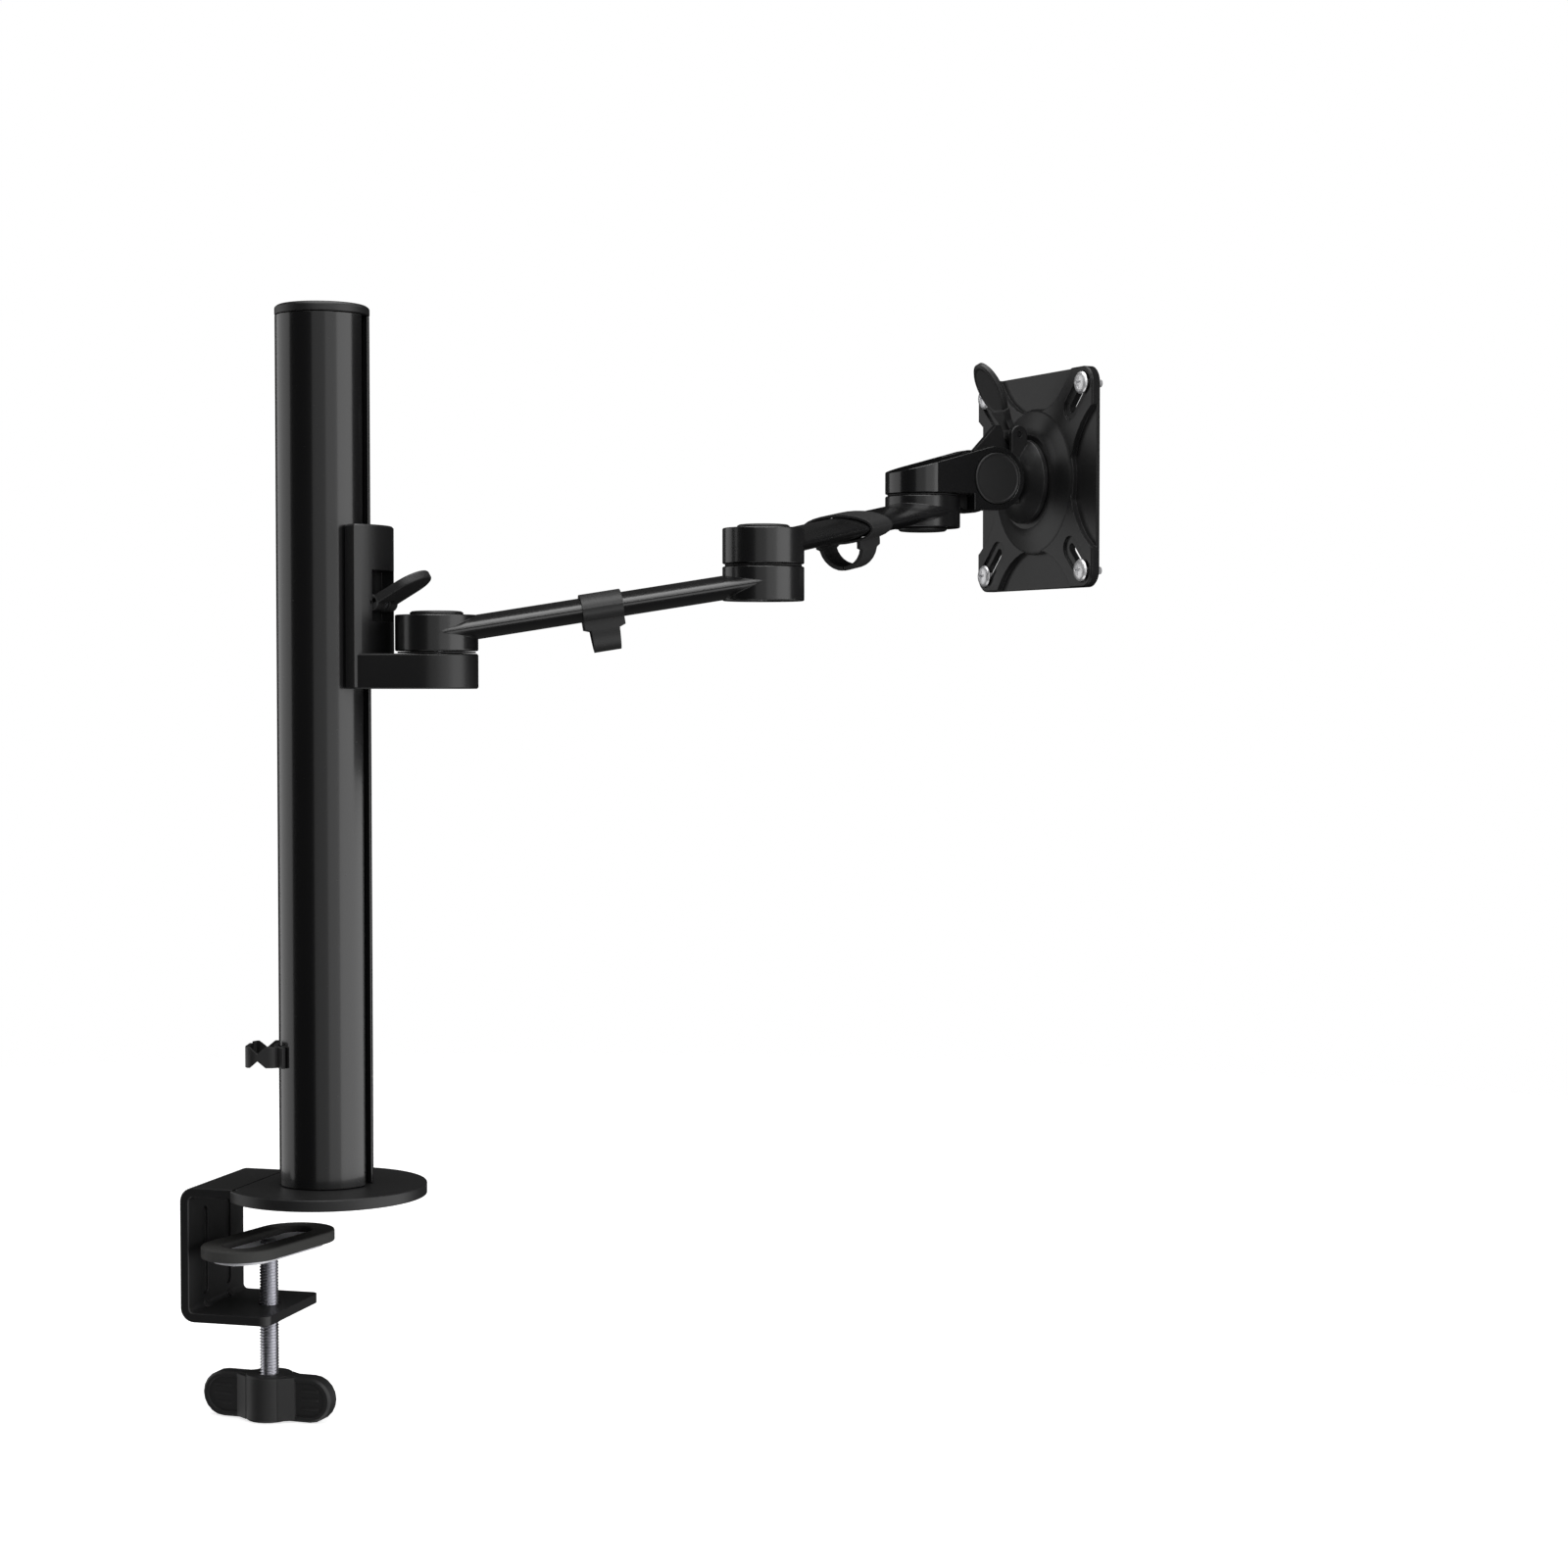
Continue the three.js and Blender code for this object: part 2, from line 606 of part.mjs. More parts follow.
// Bore for the joint bolt through one hub half, with a pocket for its head or its nut.
function jointBore(z0, z1, kind) {
  const bore = disc(BOLT_RADIUS + GAP, z0 - 1, z1 + 1, MEDIUM);
  if (kind === "nut") {
    return bore.add(disc(NUT_RADIUS + GAP + 0.1, z0 - 1, z0 + NUT_HEIGHT + 0.8, 6));
  }
  if (kind === "cap") {
    return bore.add(disc(HUB_CAP_RADIUS - 1.4, z1 - 8.4, z1 + 1, MEDIUM));
  }
  return bore;
}

function hubCap() {
  return turned(
    [
      [0, 0],
      [HUB_CAP_RADIUS, 0],
      [HUB_CAP_RADIUS, 0.7],
      [HUB_CAP_RADIUS - 0.9, 1.4],
      [HUB_CAP_RADIUS - 5, 1.8],
      [0, 1.9],
    ],
    MEDIUM,
  );
}

function seamWasher() {
  return disc(HUB_RADIUS - 1.2, 0, 0.7).subtract(disc(BOLT_RADIUS + GAP, -1, 2, MEDIUM));
}

// Bolt, nut, washer and cap of a swivel whose lower hub half starts at z0 and meets the upper at seam.
// The nut sits in the lower half's pocket, so it is turned back by the joint's own heading.
function addSwivelHardware(frame, prefix, heights, heading) {
  const [lowerBottom, seam, upperTop] = heights;
  const headSeat = upperTop - 8.4 + 1.8;
  const shank = headSeat - lowerBottom - 0.6;
  const bolt = screw(BOLT_HEAD_RADIUS, BOLT_HEAD_HEIGHT, BOLT_RADIUS, shank, 3);
  addPiece(frame, prefix + "_bolt", bolt.translate([0, 0, headSeat]), "zinc");
  const spring = disc(9, 0, 1.4, MEDIUM).subtract(disc(BOLT_RADIUS + GAP, -1, 3, MEDIUM));
  addPiece(frame, prefix + "_spring_washer", spring.translate([0, 0, headSeat - 1.5 - GAP / 2]), "zinc");
  const hexNut = nut(NUT_RADIUS, NUT_HEIGHT, BOLT_RADIUS + GAP);
  const seated = hexNut.rotate([0, 0, -heading]).translate([0, 0, lowerBottom + 0.4]);
  addPiece(frame, prefix + "_nut", seated, "zinc");
  addPiece(frame, prefix + "_friction_washer", seamWasher().translate([0, 0, seam + GAP]), "nylon");
  addPiece(frame, prefix + "_cap", hubCap().translate([0, 0, upperTop + GAP]), "satinBlack");
}

// ---------------------------------------------------------------- links

// One link in its own frame: near hub on the Z axis from height 0, far hub at LINK_LENGTH along X.
function linkBody(farKind) {
  const near = disc(HUB_RADIUS, 0, NEAR_HUB_HEIGHT, FINE, 0.7);
  const far = disc(HUB_RADIUS, FAR_HUB[0], FAR_HUB[1], FINE, 0.7).translate([LINK_LENGTH, 0, 0]);
  const rise = TUBE_END_Z - TUBE_START_Z;
  const length = Math.hypot(LINK_LENGTH, rise);
  const slope = Math.atan2(rise, LINK_LENGTH) * THREE.MathUtils.RAD2DEG;
  const section = new THREE.Shape();
  section.absellipse(0, 0, TUBE_HALF_HEIGHT, TUBE_HALF_WIDTH, 0, 2 * Math.PI);
  const tube = alongX(prism(section, 0, length)).rotate([0, -slope, 0]).translate([0, 0, TUBE_START_Z]);
  const keep = block(0, LINK_LENGTH, -30, 30, -5, 60);
  const body = near.add(far).add(tube.intersect(keep));
  const nearBore = jointBore(0, NEAR_HUB_HEIGHT, "cap");
  const farBore = farKind === "nut" ? jointBore(FAR_HUB[0], FAR_HUB[1], "nut") : headSeatBore();
  return body.subtract(nearBore).subtract(farBore.translate([LINK_LENGTH, 0, 0]));
}

// The wrist bolt comes from below: its head sits in a wide pocket under the far hub.
function headSeatBore() {
  const bore = disc(BOLT_RADIUS + GAP, FAR_HUB[0] - 1, FAR_HUB[1] + 1, MEDIUM);
  return bore.add(disc(HUB_CAP_RADIUS - 1.4, FAR_HUB[0] - 1, FAR_HUB[0] + 8.4, MEDIUM));
}

// Snap-on cable holder: a collar round the oval tube and two curved fingers under it.
function linkClip() {
  const half = CLIP_LENGTH / 2;
  const oval = (grow) => {
    const shape = new THREE.Shape();
    shape.absellipse(0, 0, TUBE_HALF_HEIGHT + grow, TUBE_HALF_WIDTH + grow, 0, 2 * Math.PI);
    return shape;
  };
  let collar = alongX(prism(oval(1.7), -half, half));
  const fingers = alongX(prism(fingerSection(), -half, half)).translate([0, 0, -TUBE_HALF_HEIGHT - 0.6]);
  const waist = prism(
    shapeOf([[-half - 1, -9.5], [-half + 3, -11], [-half + 3.6, -30], [-half - 1, -30]]),
    -40,
    40,
  ).rotate([90, 0, 0]);
  const split = block(-half - 1, half + 1, -0.5, 0.5, -40, -TUBE_HALF_HEIGHT - 6);
  const trimmed = fingers.subtract(waist).subtract(waist.mirror([1, 0, 0])).subtract(split);
  collar = collar.add(trimmed).subtract(alongX(prism(oval(GAP), -half - 1, half + 1)));
  const rise = TUBE_END_Z - TUBE_START_Z;
  const slope = Math.atan2(rise, LINK_LENGTH) * THREE.MathUtils.RAD2DEG;
  const height = TUBE_START_Z + (rise * CLIP_POSITION) / LINK_LENGTH;
  return collar.rotate([0, -slope, 0]).translate([CLIP_POSITION, 0, height]);
}

// Section of the two fingers seen along the tube. In this plane the first axis points down.
function fingerSection() {
  const outer = circlePoints(13.5, -90, 90, 14, 1.5, 0);
  const inner = circlePoints(11.3, 90, -90, 14, 1.5, 0);
  const fingers = shapeOf([[-2, -13.5], ...outer, [-2, 13.5], [-2, 11.3], ...inner, [-2, -11.3]]);
  return fingers;
}

// ---------------------------------------------------------------- head

function headBracket() {
  const start = -HUB_RADIUS - 1;
  const slope = THREE.MathUtils.degToRad(15.5);
  const topTangent = circlePoints(FORK_RADIUS, -90, 105.5, 20, TILT_X, TILT_Z);
  const tangent = topTangent[topTangent.length - 1];
  const startZ = tangent[1] - (tangent[0] - start) * Math.tan(slope);
  const side = shapeOf([
    [start, HEAD_BASE_Z],
    [HUB_RADIUS + 1.6, HEAD_BASE_Z],
    [HUB_RADIUS + 1.6, TILT_Z - FORK_RADIUS],
    ...topTangent,
    [start, startZ],
  ]);
  const profile = prism(side, -HUB_RADIUS - 1, HUB_RADIUS + 1).rotate([90, 0, 0]);
  const plan = shapeOf([
    ...circlePoints(HUB_RADIUS, 96, 264, 24),
    [24, -FORK_HALF_WIDTH],
    [TILT_X + FORK_RADIUS + 1, -FORK_HALF_WIDTH],
    [TILT_X + FORK_RADIUS + 1, FORK_HALF_WIDTH],
    [24, FORK_HALF_WIDTH],
  ]);
  const upright = prism(plan, HEAD_BASE_Z - 12, HEAD_BASE_Z + 40);
  let head = profile.intersect(upright);
  const slotHalf = TILT_WASHER[1] + GAP;
  head = head.subtract(block(17.2, 70, -slotHalf, slotHalf, HEAD_BASE_Z - 20, HEAD_BASE_Z + 50));
  head = head.subtract(tiltAxis(alongY(disc(BOLT_RADIUS + GAP, -30, 30, MEDIUM))));
  head = head.subtract(tiltAxis(alongY(disc(TILT_CAP_RADIUS + GAP, -30, -FORK_HALF_WIDTH + 1.2, MEDIUM))));
  head = head.subtract(tiltAxis(alongY(disc(TILT_CAP_RADIUS + GAP, FORK_HALF_WIDTH - 1.2, 30, MEDIUM))));
  head = head.subtract(tiltAxis(alongY(disc(BOLT_HEAD_RADIUS + GAP, -30, -FORK_HALF_WIDTH + 5, MEDIUM))));
  head = head.subtract(tiltAxis(alongY(disc(NUT_RADIUS + GAP + 0.1, FORK_HALF_WIDTH - 5, 30, 6))));
  return head.subtract(disc(BOLT_RADIUS + GAP, HEAD_BASE_Z - 1, HEAD_BASE_Z + 11, MEDIUM));
}

function tiltAxis(body) {
  return body.translate([TILT_X, 0, TILT_Z]);
}

function wristBolt(farBottom) {
  const seat = farBottom + 8.4 - 1.8;
  const length = HEAD_BASE_Z + 10 - seat;
  const bolt = screw(BOLT_HEAD_RADIUS, 5, BOLT_RADIUS, length, 3);
  return bolt.rotate([180, 0, 0]).translate([0, 0, seat]);
}

function wristSpringWasher(farBottom) {
  const ring = disc(9, 0, 1.4, MEDIUM).subtract(disc(BOLT_RADIUS + GAP, -1, 3, MEDIUM));
  return ring.translate([0, 0, farBottom + 8.4 - 1.5 - GAP / 2]);
}

function tiltBolt() {
  const seat = -FORK_HALF_WIDTH + 5 - GAP;
  const length = FORK_HALF_WIDTH - 2 - seat;
  const bolt = screw(BOLT_HEAD_RADIUS, 3.2, BOLT_RADIUS, length, 3).rotate([90, 0, 0]);
  return tiltAxis(bolt.translate([0, seat, 0]));
}

function tiltNut() {
  const body = alongY(nut(NUT_RADIUS, 3.2, BOLT_RADIUS + GAP));
  return tiltAxis(body.translate([0, FORK_HALF_WIDTH - 5 + GAP, 0]));
}

function tiltWasher(side) {
  const ring = disc(15, TILT_WASHER[0], TILT_WASHER[1]).subtract(disc(BOLT_RADIUS + GAP, 0, 20, MEDIUM));
  return tiltAxis(alongY(ring).rotate([side > 0 ? 0 : 180, 0, 0]));
}

function tiltCap(side) {
  const face = FORK_HALF_WIDTH - 1.2 + GAP;
  const cap = turned(
    [
      [0, face],
      [TILT_CAP_RADIUS, face],
      [TILT_CAP_RADIUS, face + 1],
      [TILT_CAP_RADIUS - 0.7, face + 1.6],
      [0, face + 1.8],
    ],
  );
  return tiltAxis(alongY(cap).rotate([side > 0 ? 0 : 180, 0, 0]));
}

function tiltBody() {
  const barrel = tiltAxis(alongY(disc(FORK_RADIUS - 0.9, -LUG_HALF_WIDTH, LUG_HALF_WIDTH)));
  const neckEnd = FLANGE_X[0] + 2;
  const neck = block(TILT_X + 4, neckEnd, -LUG_HALF_WIDTH, LUG_HALF_WIDTH, TILT_Z - 12.5, TILT_Z + 12.5);
  const flange = alongX(
    turned([
      [0, FLANGE_X[0] - 1.6],
      [12, FLANGE_X[0] - 1.6],
      [17, FLANGE_X[0] + 1.4],
      [FLANGE_RADIUS - 2, FLANGE_X[1] - 4.4],
      [FLANGE_RADIUS, FLANGE_X[1] - 2.6],
      [FLANGE_RADIUS, FLANGE_X[1]],
      [SPIGOT_RADIUS, FLANGE_X[1]],
      [SPIGOT_RADIUS, PLATE_BACK_X - 3.8],
      [0, PLATE_BACK_X - 3.8],
    ]),
  ).translate([0, 0, TILT_Z]);
  const lever = RELEASE_LEVER;
  const rib = prism(
    shapeOf([
      [TILT_X - 5.2, TILT_Z + 14],
      [TILT_X - 4.4, TILT_Z + 16.4],
      [lever.x - 11, lever.z + 5.2],
      [lever.x - 8.4, lever.z + 5.2],
      [lever.x - 3, lever.z - 5],
      [lever.x + 3, TILT_Z + 12],
      [TILT_X + 4, TILT_Z + 10],
    ]),
    -2,
    2,
  ).rotate([90, 0, 0]);
  const earShape = shapeOf([
    [lever.x - 5, TILT_Z + 9],
    [lever.x - 5, lever.z],
    ...circlePoints(5, 180, 0, 14, lever.x, lever.z),
    [lever.x + 5, TILT_Z + 14],
    [lever.x + 5, TILT_Z + 9],
  ]);
  const ear = prism(earShape, 5.2, 8.2, 0.4).rotate([90, 0, 0]);
  let body = barrel.add(neck).add(flange).add(ear).add(ear.mirror([0, 1, 0]));
  const gap = block(lever.x - 5.6, lever.x + 5.6, -5.2, 5.2, lever.z - 5.6, lever.z + 20);
  body = body.subtract(gap).add(rib.subtract(leverRoom()));
  body = body.subtract(alongY(disc(PIN_RADIUS + GAP, -30, 30, COARSE)).translate([lever.x, 0, lever.z]));
  const tapped = alongX(disc(2.8, PLATE_BACK_X - 16, PLATE_BACK_X, COARSE)).translate([0, 0, TILT_Z]);
  return body.subtract(tapped).subtract(tiltAxis(alongY(disc(BOLT_RADIUS + GAP, -30, 30, MEDIUM))));
}

// Space swept by the release lever's root as it turns.
function leverRoom() {
  return alongY(disc(6.4, -12, 12, MEDIUM)).translate([RELEASE_LEVER.x, 0, RELEASE_LEVER.z]);
}

function releaseLever() {
  const { x, z, angle, length } = RELEASE_LEVER;
  const oval = new THREE.Shape();
  oval.absellipse(length - 15.5, 0, 15.5, 10.6, 0, 2 * Math.PI);
  const tab = prism(oval, -2.2, 2.2, 0.8);
  const neckOutline = [[0, -4.4], [9, -4.4], [16, -7.4], [16, 7.4], [9, 4.4], [0, 4.4]];
  const neck = prism(shapeOf(neckOutline), -2.2, 2.2, 0.5);
  const cam = alongY(disc(4.6, -4.4, 4.4, MEDIUM));
  const lever = tab.add(neck).add(cam).subtract(alongY(disc(PIN_RADIUS + GAP, -20, 20, COARSE)));
  return lever.rotate([0, -angle, 0]).translate([x, 0, z]);
}

function releaseLeverPin() {
  return alongY(disc(PIN_RADIUS, -8, 8, COARSE)).translate([RELEASE_LEVER.x, 0, RELEASE_LEVER.z]);
}

// ---------------------------------------------------------------- mounting plate

// Frame of the plate: X across, Y up and Z from the screen side towards the arm.
function plateSolid() {
  const outline = roundedRectangle(-PLATE_HALF, PLATE_HALF, -PLATE_HALF, PLATE_HALF, 9);
  const web = prism(outline, 0, PLATE_WEB, 0.4);
  const square = prism(outline, 0, PLATE_BODY, 0.8);
  const bite = disc(44, -1, 20, FINE);
  let body = square;
  for (const angle of [0, 90, 180, 270]) {
    body = body.subtract(bite.translate([PLATE_HALF + 22, 0, 0]).rotate([0, 0, angle]));
  }
  const centre = turned([
    [0, 0],
    [PLATE_DOME[0], 0],
    [PLATE_DOME[0], PLATE_BODY - 0.6],
    [PLATE_DOME[0] - 2, PLATE_DOME[1] - 0.5],
    [PLATE_BOSS[0] + 5, PLATE_DOME[1] + 0.6],
    [PLATE_BOSS[0] + 1.2, PLATE_BOSS[1] - 0.8],
    [PLATE_BOSS[0], PLATE_BOSS[1]],
    [0, PLATE_BOSS[1]],
  ]);
  body = web.add(body).add(centre);
  body = body.subtract(disc(SPIGOT_RADIUS + GAP, -1, 20));
  body = body.subtract(disc(SPIGOT_RADIUS + 6, -1, 3.9));
  const start = VESA_SMALL_HALF * Math.SQRT2;
  const end = VESA_HALF * Math.SQRT2;
  const middle = (start + end) / 2;
  for (const angle of [45, 135, 225, 315]) {
    const slot = prism(racetrack(end - start + 5, 5), -1, 20).translate([middle, 0, 0]);
    const seat = prism(racetrack(end - start + 13, 13), PLATE_BODY - 1.4, 20).translate([middle, 0, 0]);
    body = body.subtract(slot.rotate([0, 0, angle])).subtract(seat.rotate([0, 0, angle]));
  }
  return body;
}

function plateScrew() {
  const body = screw(6, 2.8, 2, 12, 2.4);
  return body.translate([0, 0, PLATE_BODY - 1.4 + GAP]);
}

function retainingDisc() {
  return disc(SPIGOT_RADIUS + 5.5, 0.9, 3.5).subtract(disc(2.8, 0, 5, COARSE));
}

// ---------------------------------------------------------------- assembly

function addBase() {
  addPiece(root, "base_plate", basePlate(), "satinBlack");
  addPiece(root, "base_pad", basePad(), "rubber");
  addPiece(root, "clamp_bracket", clampBracket(), "satinBlack");
  addPiece(root, "clamp_screw", clampScrew(), "zinc");
  addPiece(root, "clamp_knob", clampKnob(), "satinBlack");
  addPiece(root, "foot_pad", footPad(), "matteBlack");
  addPiece(root, "foot_plate", footPlate(), "zinc");
  addPiece(root, "foot_rivet_1", footRivet(-28), "zinc");
  addPiece(root, "foot_rivet_2", footRivet(28), "zinc");
}

function addPole() {
  addPiece(root, "pole_tube", poleTube(), "glossBlack");
  addPiece(root, "pole_cap", poleCap(), "satinBlack");
  addPiece(root, "pole_cable_clip", poleClip(), "matteBlack");
  POLE_SCREW_HEADINGS.forEach((heading, index) => {
    const placed = poleScrew().translate([POLE_SCREW_CIRCLE, 0, 0]).rotate([0, 0, heading]);
    addPiece(root, "pole_screw_" + (index + 1), placed, "zinc");
  });
}

function addSlider() {
  addPiece(root, "slider_bracket", sliderBody(), "satinBlack");
  addPiece(root, "slider_liner", sliderLiner(), "nylon");
  addPiece(root, "slot_nut", slotNut(), "zinc");
  addPiece(root, "draw_stud", drawStud(), "zinc");
  addPiece(root, "height_lever", heightLever(), "matteBlack");
  addPiece(root, "height_lever_pin", heightLeverPin(), "zinc");
  const shoulder = addFrame(root, SHOULDER_X, 0, 0, LINK_1_HEADING);
  const heights = [BRACKET_Z[0], BRACKET_Z[1], LINK_BASE_Z + NEAR_HUB_HEIGHT];
  addSwivelHardware(shoulder, "shoulder", heights, LINK_1_HEADING);
  return shoulder;
}

// Adds a link to the frame of its near hub and returns the frame at its far hub.
function addLink(frame, name, baseZ, farKind, headingChange) {
  const placed = addFrame(frame, 0, 0, baseZ, 0);
  addPiece(placed, name, linkBody(farKind), "glossBlack");
  addPiece(placed, name + "_cable_clip", linkClip(), "matteBlack");
  return addFrame(frame, LINK_LENGTH, 0, 0, headingChange);
}

function addHead(frame, farBottom, farTop) {
  addPiece(frame, "head_bracket", headBracket(), "glossBlack");
  addPiece(frame, "wrist_bolt", wristBolt(farBottom), "zinc");
  addPiece(frame, "wrist_spring_washer", wristSpringWasher(farBottom), "zinc");
  addPiece(frame, "wrist_friction_washer", seamWasher().translate([0, 0, farTop + GAP]), "nylon");
  const wristCap = hubCap().rotate([180, 0, 0]).translate([0, 0, farBottom - GAP]);
  addPiece(frame, "wrist_cap", wristCap, "satinBlack");
  addPiece(frame, "tilt_bolt", tiltBolt(), "zinc");
  addPiece(frame, "tilt_nut", tiltNut(), "zinc");
  addPiece(frame, "tilt_washer_near", tiltWasher(-1), "nylon");
  addPiece(frame, "tilt_washer_far", tiltWasher(1), "nylon");
  addPiece(frame, "tilt_cap_near", tiltCap(-1), "matteBlack");
  addPiece(frame, "tilt_cap_far", tiltCap(1), "matteBlack");
  addPiece(frame, "tilt_body", tiltBody(), "satinBlack");
  addPiece(frame, "release_lever", releaseLever(), "matteBlack");
  addPiece(frame, "release_lever_pin", releaseLeverPin(), "zinc");
}

function addPlate(frame) {
  const plate = new THREE.Group();
  plate.position.set(PLATE_BACK_X, 0, TILT_Z);
  const axes = new THREE.Matrix4().makeBasis(
    new THREE.Vector3(0, -1, 0),
    new THREE.Vector3(0, 0, 1),
    new THREE.Vector3(-1, 0, 0),
  );
  plate.setRotationFromMatrix(axes);
  frame.add(plate);
  addPiece(plate, "mounting_plate", plateSolid(), "satinBlack");
  addPiece(plate, "retaining_disc", retainingDisc(), "zinc");
  const corners = [[1, 1], [1, -1], [-1, -1], [-1, 1]];
  corners.forEach(([x, y], index) => {
    const placed = plateScrew().translate([x * VESA_HALF, y * VESA_HALF, 0]);
    addPiece(plate, "plate_screw_" + (index + 1), placed, "zinc");
  });
  const keeper = screw(4.6, 0.6, 2.5, 9, 0.9).rotate([180, 0, 0]).translate([0, 0, 0.9 - GAP]);
  addPiece(plate, "retaining_screw", keeper, "zinc");
}

function addArm(shoulder) {
  const link1 = LINK_BASE_Z;
  const link2 = link1 + LINK_PITCH_Z;
  const elbow = addLink(shoulder, "link_1", link1, "nut", LINK_2_HEADING - LINK_1_HEADING);
  const heights = [link1 + FAR_HUB[0], link1 + FAR_HUB[1], link2 + NEAR_HUB_HEIGHT];
  addSwivelHardware(elbow, "elbow", heights, LINK_2_HEADING - LINK_1_HEADING);
  const wrist = addLink(elbow, "link_2", link2, "bolt", HEAD_HEADING - LINK_2_HEADING);
  addHead(wrist, link2 + FAR_HUB[0], link2 + FAR_HUB[1]);
  addPlate(wrist);
}

addBase();
addPole();
addArm(addSlider());

export default root;
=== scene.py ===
"""Single monitor arm on a desk clamp: its visible pieces and finishes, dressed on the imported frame.

Lengths inside the classes are millimetres in the row frame: +X runs into the desk, +Y along its edge,
+Z up, with the origin on the pole axis where the base pad rests. Objects are made in metres.
"""

import logging
import math
from dataclasses import dataclass, field
from enum import Enum

import bmesh
import bpy
import numpy as np
from mathutils import Matrix, Vector
from mathutils.geometry import tessellate_polygon


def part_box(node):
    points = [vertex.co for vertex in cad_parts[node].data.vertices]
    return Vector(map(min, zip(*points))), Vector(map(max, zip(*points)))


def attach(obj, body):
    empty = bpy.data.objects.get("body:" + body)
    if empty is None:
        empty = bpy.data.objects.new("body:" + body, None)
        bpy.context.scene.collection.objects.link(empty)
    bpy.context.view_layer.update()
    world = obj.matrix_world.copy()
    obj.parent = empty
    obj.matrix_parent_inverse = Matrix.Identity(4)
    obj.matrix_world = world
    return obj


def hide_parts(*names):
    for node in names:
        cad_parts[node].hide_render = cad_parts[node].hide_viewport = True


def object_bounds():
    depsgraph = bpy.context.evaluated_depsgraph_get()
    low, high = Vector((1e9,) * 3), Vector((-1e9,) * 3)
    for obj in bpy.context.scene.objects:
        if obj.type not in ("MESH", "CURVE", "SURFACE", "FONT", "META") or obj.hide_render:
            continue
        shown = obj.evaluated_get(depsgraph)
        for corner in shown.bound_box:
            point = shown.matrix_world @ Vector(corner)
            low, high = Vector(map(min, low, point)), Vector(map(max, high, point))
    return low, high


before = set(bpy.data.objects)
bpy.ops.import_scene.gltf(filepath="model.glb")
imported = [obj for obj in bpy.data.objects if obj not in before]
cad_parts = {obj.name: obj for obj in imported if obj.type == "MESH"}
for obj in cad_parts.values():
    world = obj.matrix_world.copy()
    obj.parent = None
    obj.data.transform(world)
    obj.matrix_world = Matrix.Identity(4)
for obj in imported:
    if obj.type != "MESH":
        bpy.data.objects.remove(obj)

CAD_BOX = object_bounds()
MM = 0.001
# Points closer than this, in metres, are joined: on a new shell, and on a CAD node's loose triangles.
MERGE_SHELL = 1e-7
MERGE_CAD = 2e-6
# Facets of a CAD node that meet at less than this, in degrees, are one flat.
FLAT_ANGLE = 0.6
log = logging.getLogger("monitor_arm")


class Body(str, Enum):
    """Bodies of the frame that a piece can ride on."""

    BASE = "base"
    FOOT = "clamp_foot"
    SPINDLE = "clamp_spindle"
    SLIDER = "slider"
    HEIGHT_LEVER = "height_lever"
    LOWER_LINK = "lower_link"
    UPPER_LINK = "upper_link"
    HEAD = "head"
    TILT_BLOCK = "tilt_block"
    RELEASE_LEVER = "release_lever"
    PLATE = "plate"


class Slot(str, Enum):
    """Material slots of the record."""

    GLOSS = "gloss_black_aluminium"
    SATIN = "satin_black_aluminium"
    STEEL = "satin_black_steel"
    PLASTIC = "black_plastic"
    NYLON = "nylon"
    RUBBER = "pad_rubber"
    ZINC = "zinc_steel"


# ---------------------------------------------------------------- surfaces


@dataclass
class Surface:
    """Closed shells in millimetres: points (n, 3) and arrays of faces, each (m, corners)."""

    points: np.ndarray
    faces: list[np.ndarray]

    def placed(self, matrix: Matrix) -> "Surface":
        """Returns the surface moved by a 4x4 matrix: P' = R P + t.

        Args:
            matrix: The move.

        Returns:
            The moved surface.
        """
        m = np.array(matrix, float)
        return Surface(self.points @ m[:3, :3].T + m[:3, 3], self.faces)

    def scaled(self, x: float, y: float, z: float) -> "Surface":
        """Returns the surface stretched along its own axes: P' = (x Px, y Py, z Pz).

        Args:
            x: Stretch along X.
            y: Stretch along Y.
            z: Stretch along Z.

        Returns:
            The stretched surface.
        """
        return Surface(self.points * np.array([x, y, z]), self.faces)

    def __add__(self, other: "Surface") -> "Surface":
        """Returns both surfaces as one set of shells.

        Args:
            other: The surface to add.

        Returns:
            The joint surface.
        """
        start = len(self.points)
        moved = [face + start for face in other.faces]
        return Surface(np.vstack([self.points, other.points]), self.faces + moved)


def turn(axis: str, degrees: float) -> Matrix:
    """Returns a rotation about X, Y or Z.

    Args:
        axis: Name of the axis.
        degrees: Angle, positive by the right-hand rule.

    Returns:
        The rotation as a 4x4 matrix.
    """
    return Matrix.Rotation(math.radians(degrees), 4, axis)


def shift(x: float, y: float, z: float) -> Matrix:
    """Returns a translation.

    Args:
        x: Move along X in millimetres.
        y: Move along Y in millimetres.
        z: Move along Z in millimetres.

    Returns:
        The translation as a 4x4 matrix.
    """
    return Matrix.Translation((x, y, z))


def grid_faces(rows: int, columns: int, close_rows: bool) -> np.ndarray:
    """Joins a grid of points whose columns close on themselves.

    Args:
        rows: Number of rings.
        columns: Points in each ring.
        close_rows: True when the last ring joins the first.

    Returns:
        Quads (m, 4): (i, j), (i, j+1), (i+1, j+1), (i+1, j).
    """
    last = rows if close_rows else rows - 1
    i, j = np.meshgrid(np.arange(last), np.arange(columns), indexing="ij")
    up, side = (i + 1) % rows, (j + 1) % columns
    corners = [i * columns + j, i * columns + side, up * columns + side, up * columns + j]
    return np.stack([c.ravel() for c in corners], axis=1)


